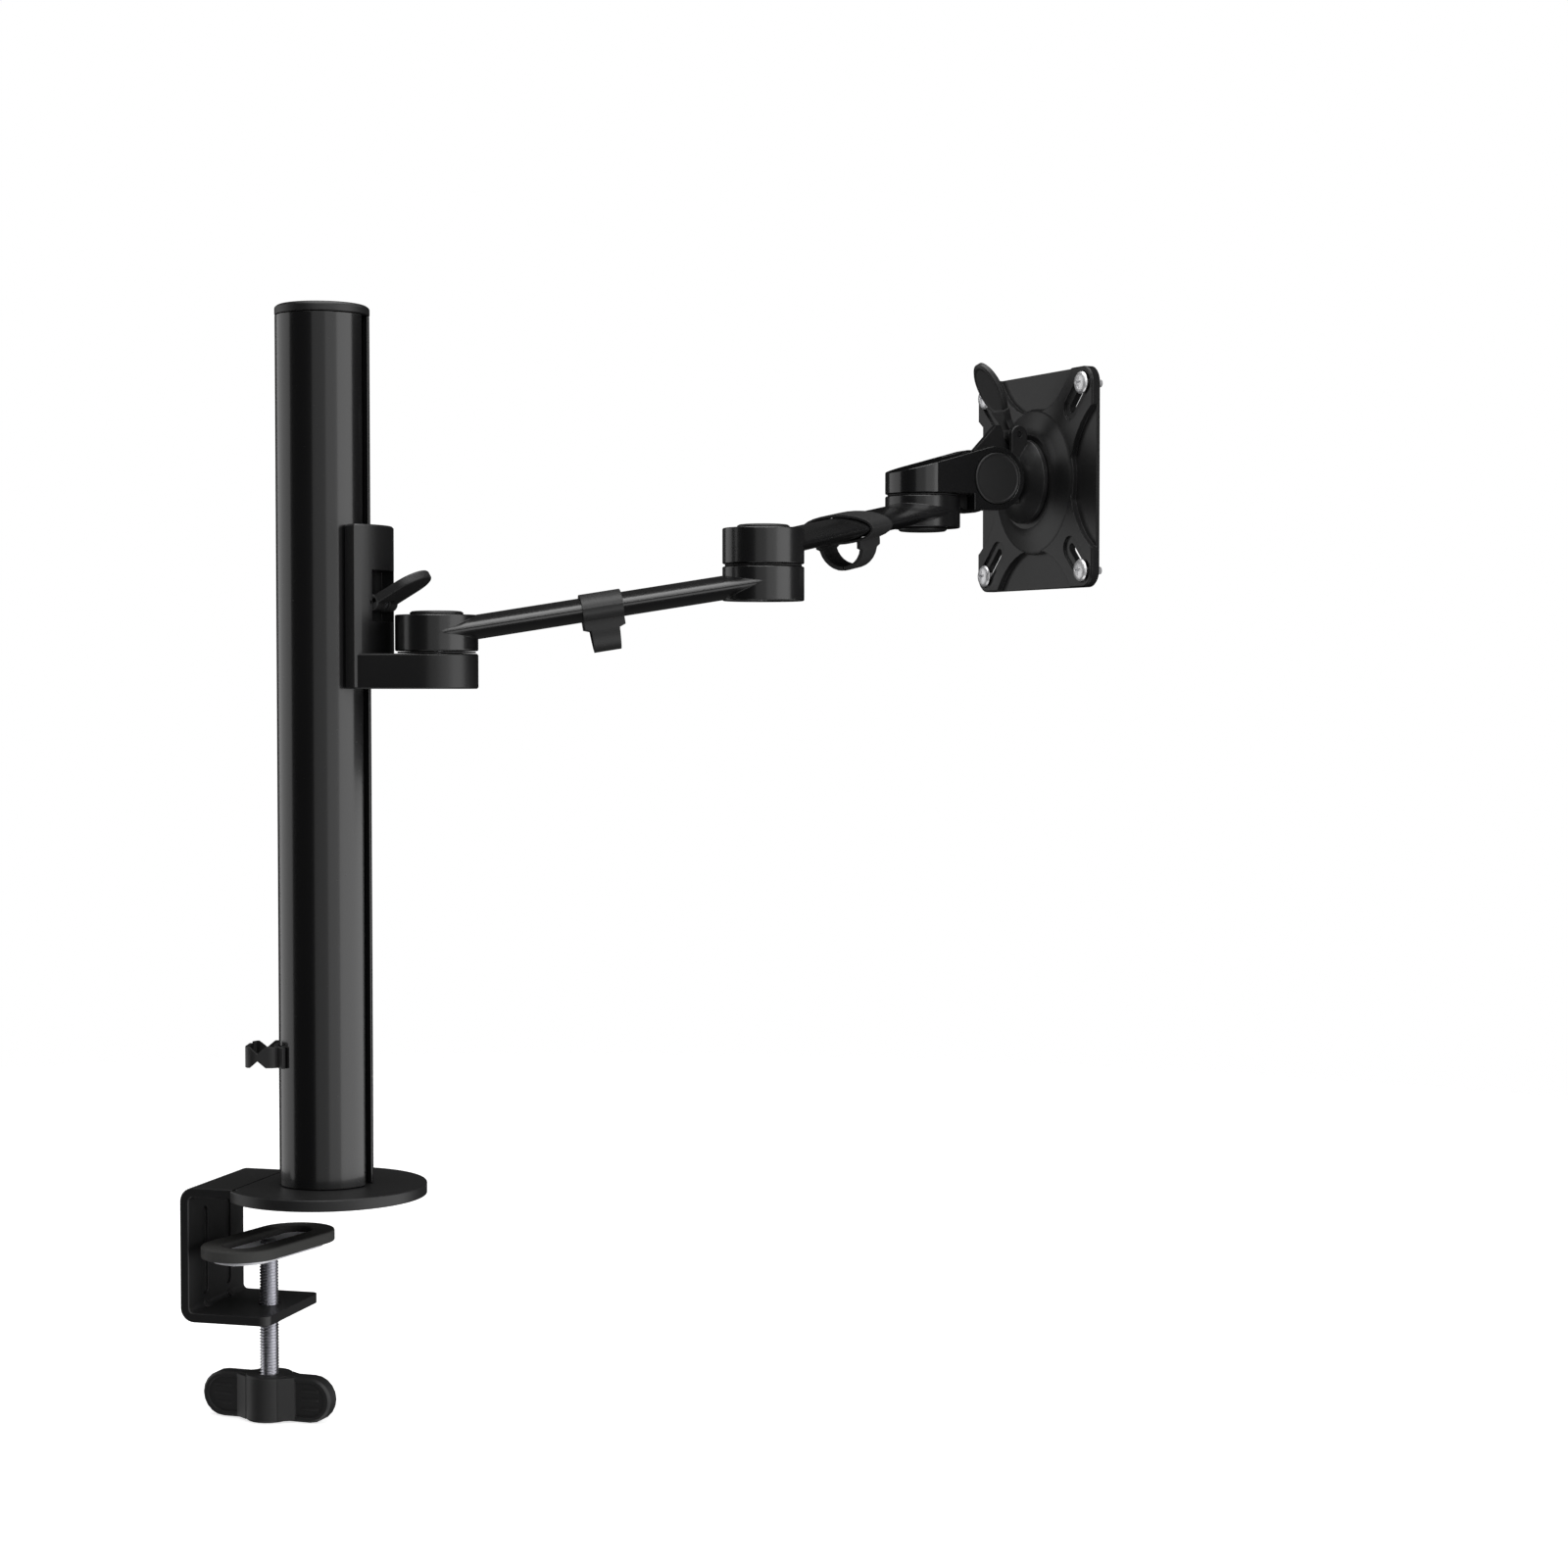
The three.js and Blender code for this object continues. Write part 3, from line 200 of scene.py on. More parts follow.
def filleted(points: np.ndarray, radii: np.ndarray, steps: int = 5, closed: bool = False) -> np.ndarray:
    """Rounds the corners of a flat line.

    A corner p with unit directions d1, d2 to its neighbours and half angle a between them gets an arc about
    c = p + (d1 + d2) / |d1 + d2| * r / sin(a), from p + d1 r / tan(a) to p + d2 r / tan(a).

    Args:
        points: Corners (n, 2).
        radii: Fillet radius of each corner; 0 keeps it sharp.
        steps: Points on each arc.
        closed: True for an outline, False for an open profile.

    Returns:
        The rounded line (k, 2) with repeated points left out.
    """
    p = np.asarray(points, float)
    r = np.asarray(radii, float).copy()
    if not closed:
        r[[0, -1]] = 0
    d1 = np.roll(p, 1, axis=0) - p
    d2 = np.roll(p, -1, axis=0) - p
    d1 /= np.maximum(np.linalg.norm(d1, axis=1, keepdims=True), 1e-9)
    d2 /= np.maximum(np.linalg.norm(d2, axis=1, keepdims=True), 1e-9)
    half = np.arccos(np.clip((d1 * d2).sum(1), -1, 1)) / 2
    half = np.clip(half, 0.02, math.pi / 2 - 1e-4)
    middle = d1 + d2
    middle /= np.maximum(np.linalg.norm(middle, axis=1, keepdims=True), 1e-9)
    centre = p + middle * (r / np.sin(half))[:, None]
    e1 = p + d1 * (r / np.tan(half))[:, None] - centre
    e2 = p + d2 * (r / np.tan(half))[:, None] - centre
    sweep = (math.pi - 2 * half)[:, None]
    s = np.linspace(0, 1, steps)[None, :]
    w1 = np.sin((1 - s) * sweep) / np.sin(sweep)
    w2 = np.sin(s * sweep) / np.sin(sweep)
    arcs = centre[:, None, :] + w1[..., None] * e1[:, None, :] + w2[..., None] * e2[:, None, :]
    line = arcs.reshape(-1, 2)
    gaps = np.linalg.norm(np.diff(line, axis=0), axis=1) > 1e-5
    return line[np.concatenate([[True], gaps])]


def arc(radius: float, start: float, end: float, count: int, x: float = 0.0, y: float = 0.0) -> np.ndarray:
    """Returns count points of (x + r cos t, y + r sin t), with t from start to end in degrees.

    Args:
        radius: Radius of the arc.
        start: First angle in degrees.
        end: Last angle in degrees.
        count: Number of points.
        x: Centre along X.
        y: Centre along Y.

    Returns:
        One point per row.
    """
    t = np.radians(np.linspace(start, end, count))
    return np.stack([x + radius * np.cos(t), y + radius * np.sin(t)], axis=1)


def racetrack(length: float, width: float, count: int = 28) -> np.ndarray:
    """Returns the outline of a straight slot with round ends, anticlockwise.

    Args:
        length: Overall length.
        width: Overall width.
        count: Points on each round end.

    Returns:
        One point per row.
    """
    offset = (length - width) / 2
    ends = [arc(width / 2, -90, 90, count, offset), arc(width / 2, 90, 270, count, -offset)]
    return np.vstack(ends)


def revolved(profile: np.ndarray, segments: int = 96, closed: bool = False) -> Surface:
    """Turns a profile about Z: P(i, v) = (r_i cos v, r_i sin v, z_i).

    Args:
        profile: Radius and height of each point. An open profile starts and ends on the axis.
        segments: Steps round the axis.
        closed: True for a ring whose profile joins itself.

    Returns:
        One closed shell.
    """
    line = np.asarray(profile, float)
    v = np.linspace(0, 2 * math.pi, segments, endpoint=False)
    ring = line if closed else line[1:-1]
    r, z = ring[:, 0][:, None], ring[:, 1][:, None]
    grid = np.stack([r * np.cos(v), r * np.sin(v), z + 0 * v], axis=2).reshape(-1, 3)
    faces = [grid_faces(len(ring), segments, closed)]
    if closed:
        return Surface(grid, faces)
    ends = np.array([[0, 0, line[0, 1]], [0, 0, line[-1, 1]]])
    low, high = len(grid), len(grid) + 1
    j = np.arange(segments)
    side = (j + 1) % segments
    top = (len(ring) - 1) * segments
    faces.append(np.stack([side, j, np.full(segments, low)], axis=1))
    faces.append(np.stack([top + j, top + side, np.full(segments, high)], axis=1))
    return Surface(np.vstack([grid, ends]), faces)


def turned(
    points: list[tuple[float, float]],
    radii: list[float],
    segments: int = 96,
    closed: bool = False,
) -> Surface:
    """Turns a profile with rounded corners about Z.

    Args:
        points: Radius and height of each corner.
        radii: Fillet radius of each corner.
        segments: Steps round the axis.
        closed: True for a ring.

    Returns:
        One closed shell.
    """
    return revolved(filleted(np.array(points), np.array(radii), 5, closed), segments, closed)


def rim_rings(
    bottom: float,
    top: float,
    low: float,
    high: float,
    steps: int = 4,
) -> list[tuple[float, float]]:
    """Rings of an upright wall with quarter-round edges.

    With t from 0 to 90 degrees the lower edge is
    (inset, z) = (low (1 - sin t), bottom + low (1 - cos t)),
    and the upper one mirrors it with the radius high.

    Args:
        bottom: Lowest height.
        top: Highest height.
        low: Radius of the lower edge.
        high: Radius of the upper edge.
        steps: Rings on each edge.

    Returns:
        Pairs of inset and height, from the bottom up.
    """
    t = np.linspace(0, math.pi / 2, steps)
    lower = np.stack([low * (1 - np.sin(t)), bottom + low * (1 - np.cos(t))], axis=1)
    upper = np.stack([high * (1 - np.cos(t)), top - high * (1 - np.sin(t))], axis=1)
    return [tuple(pair) for pair in np.vstack([lower, upper])]


def extruded(loops: list[np.ndarray], rings: list[tuple[float, float]]) -> Surface:
    """Carries flat loops up through rings: P(i, k) = (p_k - n_k inset_i, z_i).

    Here n is the mitred outward normal of the loop.

    Args:
        loops: The outline anticlockwise, then its holes clockwise.
        rings: Inset and height of each ring, from the bottom up.

    Returns:
        One closed shell whose flat ends are filled between the loops.
    """
    points, faces, first, last = [], [], [], []
    start = 0
    for loop in loops:
        edge = np.roll(loop, -1, axis=0) - loop
        edge /= np.maximum(np.linalg.norm(edge, axis=1, keepdims=True), 1e-9)
        after = np.stack([edge[:, 1], -edge[:, 0]], axis=1)
        before = np.roll(after, 1, axis=0)
        mitre = (before + after) / np.maximum(1 + (before * after).sum(1, keepdims=True), 0.3)
        inset = np.array([ring[0] for ring in rings])[:, None, None]
        height = np.array([ring[1] for ring in rings])[:, None]
        flat = loop[None] - mitre[None] * inset
        grid = np.concatenate([flat, np.broadcast_to(height[..., None], flat.shape[:2] + (1,))], axis=2)
        points.append(grid.reshape(-1, 3))
        faces.append(grid_faces(len(rings), len(loop), False) + start)
        first.append(start + np.arange(len(loop)))
        last.append(start + (len(rings) - 1) * len(loop) + np.arange(len(loop)))
        start += grid.shape[0] * grid.shape[1]
    every = np.vstack(points)
    for index, flip in ((first, True), (last, False)):
        order = np.concatenate(index)
        triangles = tessellate_polygon([[Vector((x, y, 0)) for x, y in every[k, :2]] for k in index])
        fill = order[np.array(triangles)]
        faces.append(fill[:, ::-1] if flip else fill)
    return Surface(every, faces)


def lofted(sections: np.ndarray) -> Surface:
    """Joins closed sections: P(i, j) = sections[i, j], with flat ends.

    Args:
        sections: Array (rows, columns, 3).

    Returns:
        One closed shell.
    """
    rows, columns = sections.shape[:2]
    faces = [grid_faces(rows, columns, False)]
    faces.append(np.arange(columns)[None, ::-1])
    faces.append(((rows - 1) * columns + np.arange(columns))[None])
    return Surface(sections.reshape(-1, 3), faces)


# ---------------------------------------------------------------- shader groups


class Nodes:
    """Adds and joins nodes in one tree."""

    def __init__(self, tree: bpy.types.NodeTree) -> None:
        """Keeps the tree and empties it.

        Args:
            tree: The node tree to fill.
        """
        self.tree = tree
        tree.nodes.clear()

    def add(self, kind: str, **values: object) -> bpy.types.Node:
        """Adds a node and sets its properties.

        Args:
            kind: Node type without the ShaderNode prefix, or the full group type.
            values: Properties of the node.

        Returns:
            The node.
        """
        node = self.tree.nodes.new(kind if kind.startswith("Node") else "ShaderNode" + kind)
        for name, value in values.items():
            setattr(node, name, value)
        return node

    def join(self, source: bpy.types.NodeSocket, target: bpy.types.NodeSocket) -> None:
        """Links an output to an input.

        Args:
            source: The output.
            target: The input.
        """
        self.tree.links.new(source, target)

    def math(self, operation: str, a: object, b: object = 0.0, clamp: bool = False) -> bpy.types.NodeSocket:
        """Adds a Math node.

        Args:
            operation: Name of the operation.
            a: First value or socket.
            b: Second value or socket.
            clamp: True to hold the result between 0 and 1.

        Returns:
            The result's socket.
        """
        node = self.add("Math", operation=operation, use_clamp=clamp)
        for index, value in enumerate((a, b)):
            if isinstance(value, bpy.types.NodeSocket):
                self.join(value, node.inputs[index])
            else:
                node.inputs[index].default_value = value
        return node.outputs[0]

    def mix(self, factor: object, a: object, b: object) -> bpy.types.NodeSocket:
        """Mixes two colours.

        Args:
            factor: Share of b, a value or a socket.
            a: First colour or socket.
            b: Second colour or socket.

        Returns:
            The colour's socket.
        """
        node = self.add("Mix", data_type="RGBA")
        for index, value in ((0, factor), (6, a), (7, b)):
            if isinstance(value, bpy.types.NodeSocket):
                self.join(value, node.inputs[index])
            else:
                node.inputs[index].default_value = value
        return node.outputs[2]

    def ramp(
        self,
        value: bpy.types.NodeSocket,
        low: float,
        high: float,
        to_low: float = 0.0,
        to_high: float = 1.0,
    ) -> bpy.types.NodeSocket:
        """Maps a value from one range to another and holds it there.

        Args:
            value: The incoming value.
            low: Start of the incoming range.
            high: End of the incoming range.
            to_low: Start of the result's range.
            to_high: End of the result's range.

        Returns:
            The result's socket.
        """
        node = self.add("MapRange", clamp=True)
        self.join(value, node.inputs["Value"])
        for name, number in (("From Min", low), ("From Max", high), ("To Min", to_low), ("To Max", to_high)):
            node.inputs[name].default_value = number
        return node.outputs["Result"]

    def noise(self, vector: bpy.types.NodeSocket, scale: object, detail: float = 4.0) -> bpy.types.NodeSocket:
        """Adds a 3-D noise.

        Args:
            vector: Where it is read.
            scale: Cells per metre, a value or a socket.
            detail: Octaves.

        Returns:
            The noise's value.
        """
        node = self.add("TexNoise")
        self.join(vector, node.inputs["Vector"])
        if isinstance(scale, bpy.types.NodeSocket):
            self.join(scale, node.inputs["Scale"])
        else:
            node.inputs["Scale"].default_value = scale
        node.inputs["Detail"].default_value = detail
        return node.outputs["Fac"]


class GroupLibrary:
    """Shared surface effects, each built once as a node group."""

    def __init__(self) -> None:
        """Builds every group."""
        self.wear_and_highlight = self.edge_wear_and_highlight()
        self.grain = self.surface_grain()
        self.film = self.handling_film()
        self.lines = self.drawn_lines()

    def start(
        self,
        name: str,
        inputs: list[tuple[str, str, float]],
        outputs: list[tuple[str, str]],
    ) -> tuple[bpy.types.NodeTree, Nodes, bpy.types.Node, bpy.types.Node]:
        """Opens a group with its sockets.

        Args:
            name: Group name.
            inputs: Name, socket type and default of each input.
            outputs: Name and socket type of each output.

        Returns:
            The group, its Nodes, its input node and its output node.
        """
        group = bpy.data.node_groups.new(name, "ShaderNodeTree")
        nodes = Nodes(group)
        for label, kind, default in inputs:
            socket = group.interface.new_socket(name=label, in_out="INPUT", socket_type=kind)
            if kind == "NodeSocketFloat":
                socket.default_value = default
        for label, kind in outputs:
            group.interface.new_socket(name=label, in_out="OUTPUT", socket_type=kind)
        return group, nodes, nodes.add("NodeGroupInput"), nodes.add("NodeGroupOutput")

    def edge_wear_and_highlight(self) -> bpy.types.NodeTree:
        """Rounded normals at edges, and a broken mask of where they turn, which the finishes use for worn
        paint and for a painted highlight along the edges.

        Mask = ramp(1 - N_round . N, 0.03, 0.25) * ramp(noise, 0.48, 0.62).

        Returns:
            The group.
        """
        inputs = [("Radius", "NodeSocketFloat", 0.0005), ("Patch Scale", "NodeSocketFloat", 90.0)]
        outputs = [("Normal", "NodeSocketVector"), ("Mask", "NodeSocketFloat")]
        group, nodes, entry, leave = self.start("edge_wear_and_highlight", inputs, outputs)
        bevel = nodes.add("Bevel", samples=4)
        nodes.join(entry.outputs["Radius"], bevel.inputs["Radius"])
        flat = nodes.add("NewGeometry")
        dot = nodes.add("VectorMath", operation="DOT_PRODUCT")
        nodes.join(bevel.outputs["Normal"], dot.inputs[0])
        nodes.join(flat.outputs["Normal"], dot.inputs[1])
        turned_away = nodes.math("SUBTRACT", 1.0, dot.outputs["Value"], True)
        edge = nodes.ramp(turned_away, 0.03, 0.25)
        place = nodes.add("TexCoord").outputs["Object"]
        patches = nodes.ramp(nodes.noise(place, entry.outputs["Patch Scale"], 5.0), 0.48, 0.62)
        nodes.join(bevel.outputs["Normal"], leave.inputs["Normal"])
        nodes.join(nodes.math("MULTIPLY", edge, patches), leave.inputs["Mask"])
        return group

    def surface_grain(self) -> bpy.types.NodeTree:
        """Fine pebbled skin of a paint or a mould: Height = 0.7 noise(s x) + 0.3 cells(1.7 s x).

        Returns:
            The group.
        """
        inputs = [("Scale", "NodeSocketFloat", 2500.0)]
        outputs = [("Height", "NodeSocketFloat"), ("Speck", "NodeSocketFloat")]
        group, nodes, entry, leave = self.start("surface_grain", inputs, outputs)
        place = nodes.add("TexCoord").outputs["Object"]
        soft = nodes.noise(place, entry.outputs["Scale"], 3.0)
        cells = nodes.add("TexVoronoi")
        nodes.join(place, cells.inputs["Vector"])
        nodes.join(nodes.math("MULTIPLY", entry.outputs["Scale"], 1.7), cells.inputs["Scale"])
        rough = nodes.math("MULTIPLY", cells.outputs["Distance"], 0.3)
        nodes.join(nodes.math("ADD", nodes.math("MULTIPLY", soft, 0.7), rough), leave.inputs["Height"])
        nodes.join(nodes.ramp(soft, 0.62, 0.75), leave.inputs["Speck"])
        return group

    def handling_film(self) -> bpy.types.NodeTree:
        """Slow changes of gloss from handling, and dust that settles where the surface faces up.

        Gloss = noise(s x) - 0.5, Dust = ramp(Nz, 0.55, 1) * ramp(noise, 0.5, 0.75).

        Returns:
            The group.
        """
        inputs = [("Scale", "NodeSocketFloat", 18.0)]
        outputs = [("Gloss", "NodeSocketFloat"), ("Dust", "NodeSocketFloat"), ("Tone", "NodeSocketFloat")]
        group, nodes, entry, leave = self.start("handling_film", inputs, outputs)
        place = nodes.add("TexCoord").outputs["Object"]
        slow = nodes.noise(place, entry.outputs["Scale"], 6.0)
        nodes.join(nodes.math("SUBTRACT", slow, 0.5), leave.inputs["Gloss"])
        up = nodes.add("SeparateXYZ")
        nodes.join(nodes.add("NewGeometry").outputs["Normal"], up.inputs[0])
        facing = nodes.ramp(up.outputs["Z"], 0.55, 1.0)
        motes = nodes.ramp(nodes.noise(place, 1400.0, 4.0), 0.5, 0.75)
        nodes.join(nodes.math("MULTIPLY", facing, motes), leave.inputs["Dust"])
        nodes.join(nodes.ramp(nodes.noise(place, 7.0, 3.0), 0.3, 0.7), leave.inputs["Tone"])
        return group

    def drawn_lines(self) -> bpy.types.NodeTree:
        """Faint lines left along a drawn or brushed surface: Lines = noise(x, y, z) with one axis stretched.

        Returns:
            The group.
        """
        inputs = [("Vector", "NodeSocketVector", 0.0), ("Scale", "NodeSocketFloat", 900.0)]
        outputs = [("Lines", "NodeSocketFloat")]
        group, nodes, entry, leave = self.start("drawn_lines", inputs, outputs)
        lines = nodes.noise(entry.outputs["Vector"], entry.outputs["Scale"], 3.0)
        nodes.join(lines, leave.inputs["Lines"])
        return group


# ---------------------------------------------------------------- finishes


Colour = tuple[float, float, float, float]

WHITE: Colour = (1.0, 1.0, 1.0, 1.0)
BLACK: Colour = (0.0042, 0.0042, 0.0045, 1.0)
DEEP_BLACK: Colour = (0.0055, 0.0055, 0.0058, 1.0)
SOFT_BLACK: Colour = (0.0075, 0.0075, 0.0079, 1.0)
DUST_COLOUR: Colour = (0.28, 0.27, 0.25, 1.0)
# Roughness added by the specks of the skin, and taken away where an edge is rubbed.
SPECK_ROUGHNESS = 0.06
RUBBED_POLISH = 0.1


@dataclass(frozen=True)
class Finish:
    """A surface finish: its colours, gloss, skin, edge wear with a painted edge highlight, and dust."""

    name: str
    colour: Colour
    second: Colour
    roughness: float
    metallic: float = 0.0
    coat: float = 0.0
    coat_roughness: float = 0.1
    gloss_change: float = 0.12
    grain_scale: float = 2500.0
    grain_depth: float = 0.00002
    grain_strength: float = 0.25
    edge_radius: float = 0.0005
    # Lighter colour painted along edges: partly worn paint, partly a painted highlight.
    worn_and_highlight: Colour = (0.05, 0.05, 0.052, 1.0)
    wear_and_highlight: float = 0.5
    dust: float = 0.06
    line_stretch: tuple[float, float, float] = (1.0, 1.0, 1.0)
    line_turn: tuple[float, float, float] = (0.0, 0.0, 0.0)
    line_scale: float = 0.0
    line_depth: float = 0.00001

    def material(self, groups: GroupLibrary) -> bpy.types.Material:
        """Builds the finish as a material.

        Args:
            groups: The shared effects.

        Returns:
            The material.
        """
        material = bpy.data.materials.new(self.name)
        material.use_nodes = True
        nodes = Nodes(material.node_tree)
        shader = nodes.add("BsdfPrincipled")
        output = nodes.add("OutputMaterial")
        nodes.join(shader.outputs["BSDF"], output.inputs["Surface"])
        shader.inputs["Coat Weight"].default_value = self.coat
        shader.inputs["Coat Roughness"].default_value = self.coat_roughness
        wear_and_highlight = nodes.add("Group", node_tree=groups.wear_and_highlight)
        wear_and_highlight.inputs["Radius"].default_value = self.edge_radius
        film = nodes.add("Group", node_tree=groups.film)
        grain = nodes.add("Group", node_tree=groups.grain)
        grain.inputs["Scale"].default_value = self.grain_scale
        # Edges take the lighter edge colour: partly worn paint, partly a painted highlight.
        worn_and_highlight = nodes.math("MULTIPLY", wear_and_highlight.outputs["Mask"], self.wear_and_highlight)
        body = nodes.mix(film.outputs["Tone"], self.colour, self.second)
        dressed = nodes.mix(worn_and_highlight, body, self.worn_and_highlight)
        settled = nodes.math("MULTIPLY", film.outputs["Dust"], self.dust)
        dusty = nodes.mix(settled, dressed, DUST_COLOUR)
        nodes.join(dusty, shader.inputs["Base Color"])
        change = nodes.math("MULTIPLY", film.outputs["Gloss"], self.gloss_change)
        speck = nodes.math("MULTIPLY", grain.outputs["Speck"], SPECK_ROUGHNESS)
        rough = nodes.math("ADD", nodes.math("ADD", change, speck), self.roughness)
        polish = nodes.math("MULTIPLY", worn_and_highlight, RUBBED_POLISH)
        rubbed = nodes.math("SUBTRACT", rough, polish, True)
        nodes.join(rubbed, shader.inputs["Roughness"])
        shader.inputs["Metallic"].default_value = self.metallic
        height = grain.outputs["Height"]
        if self.line_scale > 0:
            height = self.with_lines(nodes, groups, height)
        bump = nodes.add("Bump")
        bump.inputs["Strength"].default_value = self.grain_strength
        bump.inputs["Distance"].default_value = self.grain_depth
        nodes.join(height, bump.inputs["Height"])
        nodes.join(wear_and_highlight.outputs["Normal"], bump.inputs["Normal"])
        nodes.join(bump.outputs["Normal"], shader.inputs["Normal"])
        return material

    def with_lines(
        self,
        nodes: Nodes,
        groups: GroupLibrary,
        height: bpy.types.NodeSocket,
    ) -> bpy.types.NodeSocket:
        """Adds drawn lines to the height of the skin.

        Args:
            nodes: The material's nodes.
            groups: The shared effects.
            height: Height of the grain.

        Returns:
            The height of both.
        """
        turned_place = nodes.add("Mapping")
        nodes.join(nodes.add("TexCoord").outputs["Object"], turned_place.inputs["Vector"])
        turned_place.inputs["Rotation"].default_value = [math.radians(a) for a in self.line_turn]
        stretched = nodes.add("Mapping")
        nodes.join(turned_place.outputs["Vector"], stretched.inputs["Vector"])
        stretched.inputs["Scale"].default_value = self.line_stretch
        lines = nodes.add("Group", node_tree=groups.lines)
        nodes.join(stretched.outputs["Vector"], lines.inputs["Vector"])
        lines.inputs["Scale"].default_value = self.line_scale
        scaled = nodes.math("MULTIPLY", lines.outputs["Lines"], self.line_depth / self.grain_depth)
        return nodes.math("ADD", height, scaled)


GLOSS = dict(
    colour=BLACK,
    second=DEEP_BLACK,
    roughness=0.22,
    coat=0.5,
    coat_roughness=0.1,
    gloss_change=0.05,
    grain_scale=700.0,
    grain_strength=0.06,
    wear_and_highlight=0.25,
    dust=0.03,
)
POLE_GLOSS = Finish(
    "pole_gloss_black",
    line_stretch=(1.0, 1.0, 0.01),
    line_scale=1400.0,
    line_depth=0.000006,
    **GLOSS,
)
HEAD_GLOSS = Finish("head_gloss_black", **GLOSS)
SATIN_CAST = Finish(
    "satin_black_casting",
    DEEP_BLACK,
    (0.0072, 0.0072, 0.0075, 1.0),
    0.36,
    coat=0.1,
    coat_roughness=0.3,
    grain_scale=2200.0,
    grain_strength=0.22,
    wear_and_highlight=0.4,
)
SATIN_STEEL = Finish(
    "satin_black_sheet_steel",
    SOFT_BLACK,
    (0.0100, 0.0100, 0.0104, 1.0),
    0.42,
    grain_scale=1500.0,
    grain_strength=0.3,
    wear_and_highlight=0.6,
)
MOULDED = Finish(
    "moulded_black_plastic",
    (0.0140, 0.0140, 0.0142, 1.0),
    (0.0180, 0.0180, 0.0184, 1.0),
    0.46,
    grain_scale=3600.0,
    grain_strength=0.3,
    wear_and_highlight=0.25,
    worn_and_highlight=(0.03, 0.03, 0.031, 1.0),
)
CAP_PLASTIC = Finish(
    "smooth_black_cap",
    (0.0065, 0.0065, 0.0068, 1.0),
    (0.0085, 0.0085, 0.0088, 1.0),
    0.42,
    grain_scale=2600.0,
    grain_strength=0.12,
    wear_and_highlight=0.3,
)
RUBBER = Finish(
    "pad_rubber_black",
    (0.030, 0.030, 0.029, 1.0),
    (0.040, 0.040, 0.038, 1.0),
    0.75,
    grain_scale=1300.0,
    grain_depth=0.00005,
    grain_strength=0.5,
    wear_and_highlight=0.1,
    dust=0.14,
)
NYLON = Finish(
    "dark_nylon",
    (0.004, 0.004, 0.0042, 1.0),
    (0.006, 0.006, 0.0062, 1.0),
    0.6,
    grain_scale=1800.0,
    wear_and_highlight=0.1,
)
ZINC = Finish(
    "bright_zinc",
    (0.62, 0.63, 0.66, 1.0),
    (0.58, 0.58, 0.62, 1.0),
    0.26,
    metallic=1.0,
    gloss_change=0.2,
    grain_scale=1600.0,
    grain_strength=0.07,
    edge_radius=0.0002,
    worn_and_highlight=(0.80, 0.80, 0.82, 1.0),
    wear_and_highlight=0.6,
    dust=0.04,
)
MATT_ZINC = Finish(
    "matt_zinc",
    (0.88, 0.88, 0.91, 1.0),
    (0.76, 0.76, 0.80, 1.0),
    0.45,
    metallic=0.3,
    gloss_change=0.1,
    grain_scale=1800.0,
    grain_strength=0.06,
    edge_radius=0.0003,
    worn_and_highlight=(0.85, 0.85, 0.87, 1.0),
    dust=0.03,
)
BLACK_PIN = Finish(
    "blackened_pin",
    (0.012, 0.012, 0.013, 1.0),
    (0.018, 0.018, 0.019, 1.0),
    0.35,
    metallic=0.6,
    grain_scale=1600.0,
    edge_radius=0.0002,
    dust=0.02,
)
SCREW_HEAD_ZINC = Finish(
    "bright_screw_head",
    (0.92, 0.92, 0.93, 1.0),
    (0.85, 0.85, 0.87, 1.0),
    0.38,
    metallic=0.8,
    gloss_change=0.1,
    grain_scale=2200.0,
    grain_strength=0.04,
    edge_radius=0.0002,
    worn_and_highlight=(0.88, 0.88, 0.9, 1.0),
    dust=0.02,
)


def link_gloss(name: str, heading: float) -> Finish:
    """Returns the satin finish of a link, with its drawn lines turned to the link's heading in degrees.

    Args:
        name: Name of the finish.
        heading: The link's heading in degrees.

    Returns:
        The finish.
    """
    return Finish(
        name,
        BLACK,
        DEEP_BLACK,
        0.28,
        coat=0.45,
        coat_roughness=0.15,
        grain_scale=900.0,
        grain_strength=0.08,
        wear_and_highlight=0.25,
        dust=0.03,
        line_stretch=(0.012, 1.0, 1.0),
        line_turn=(0.0, 0.0, -heading),
        line_scale=1100.0,
        line_depth=0.00001,
    )


# ---------------------------------------------------------------- workshop


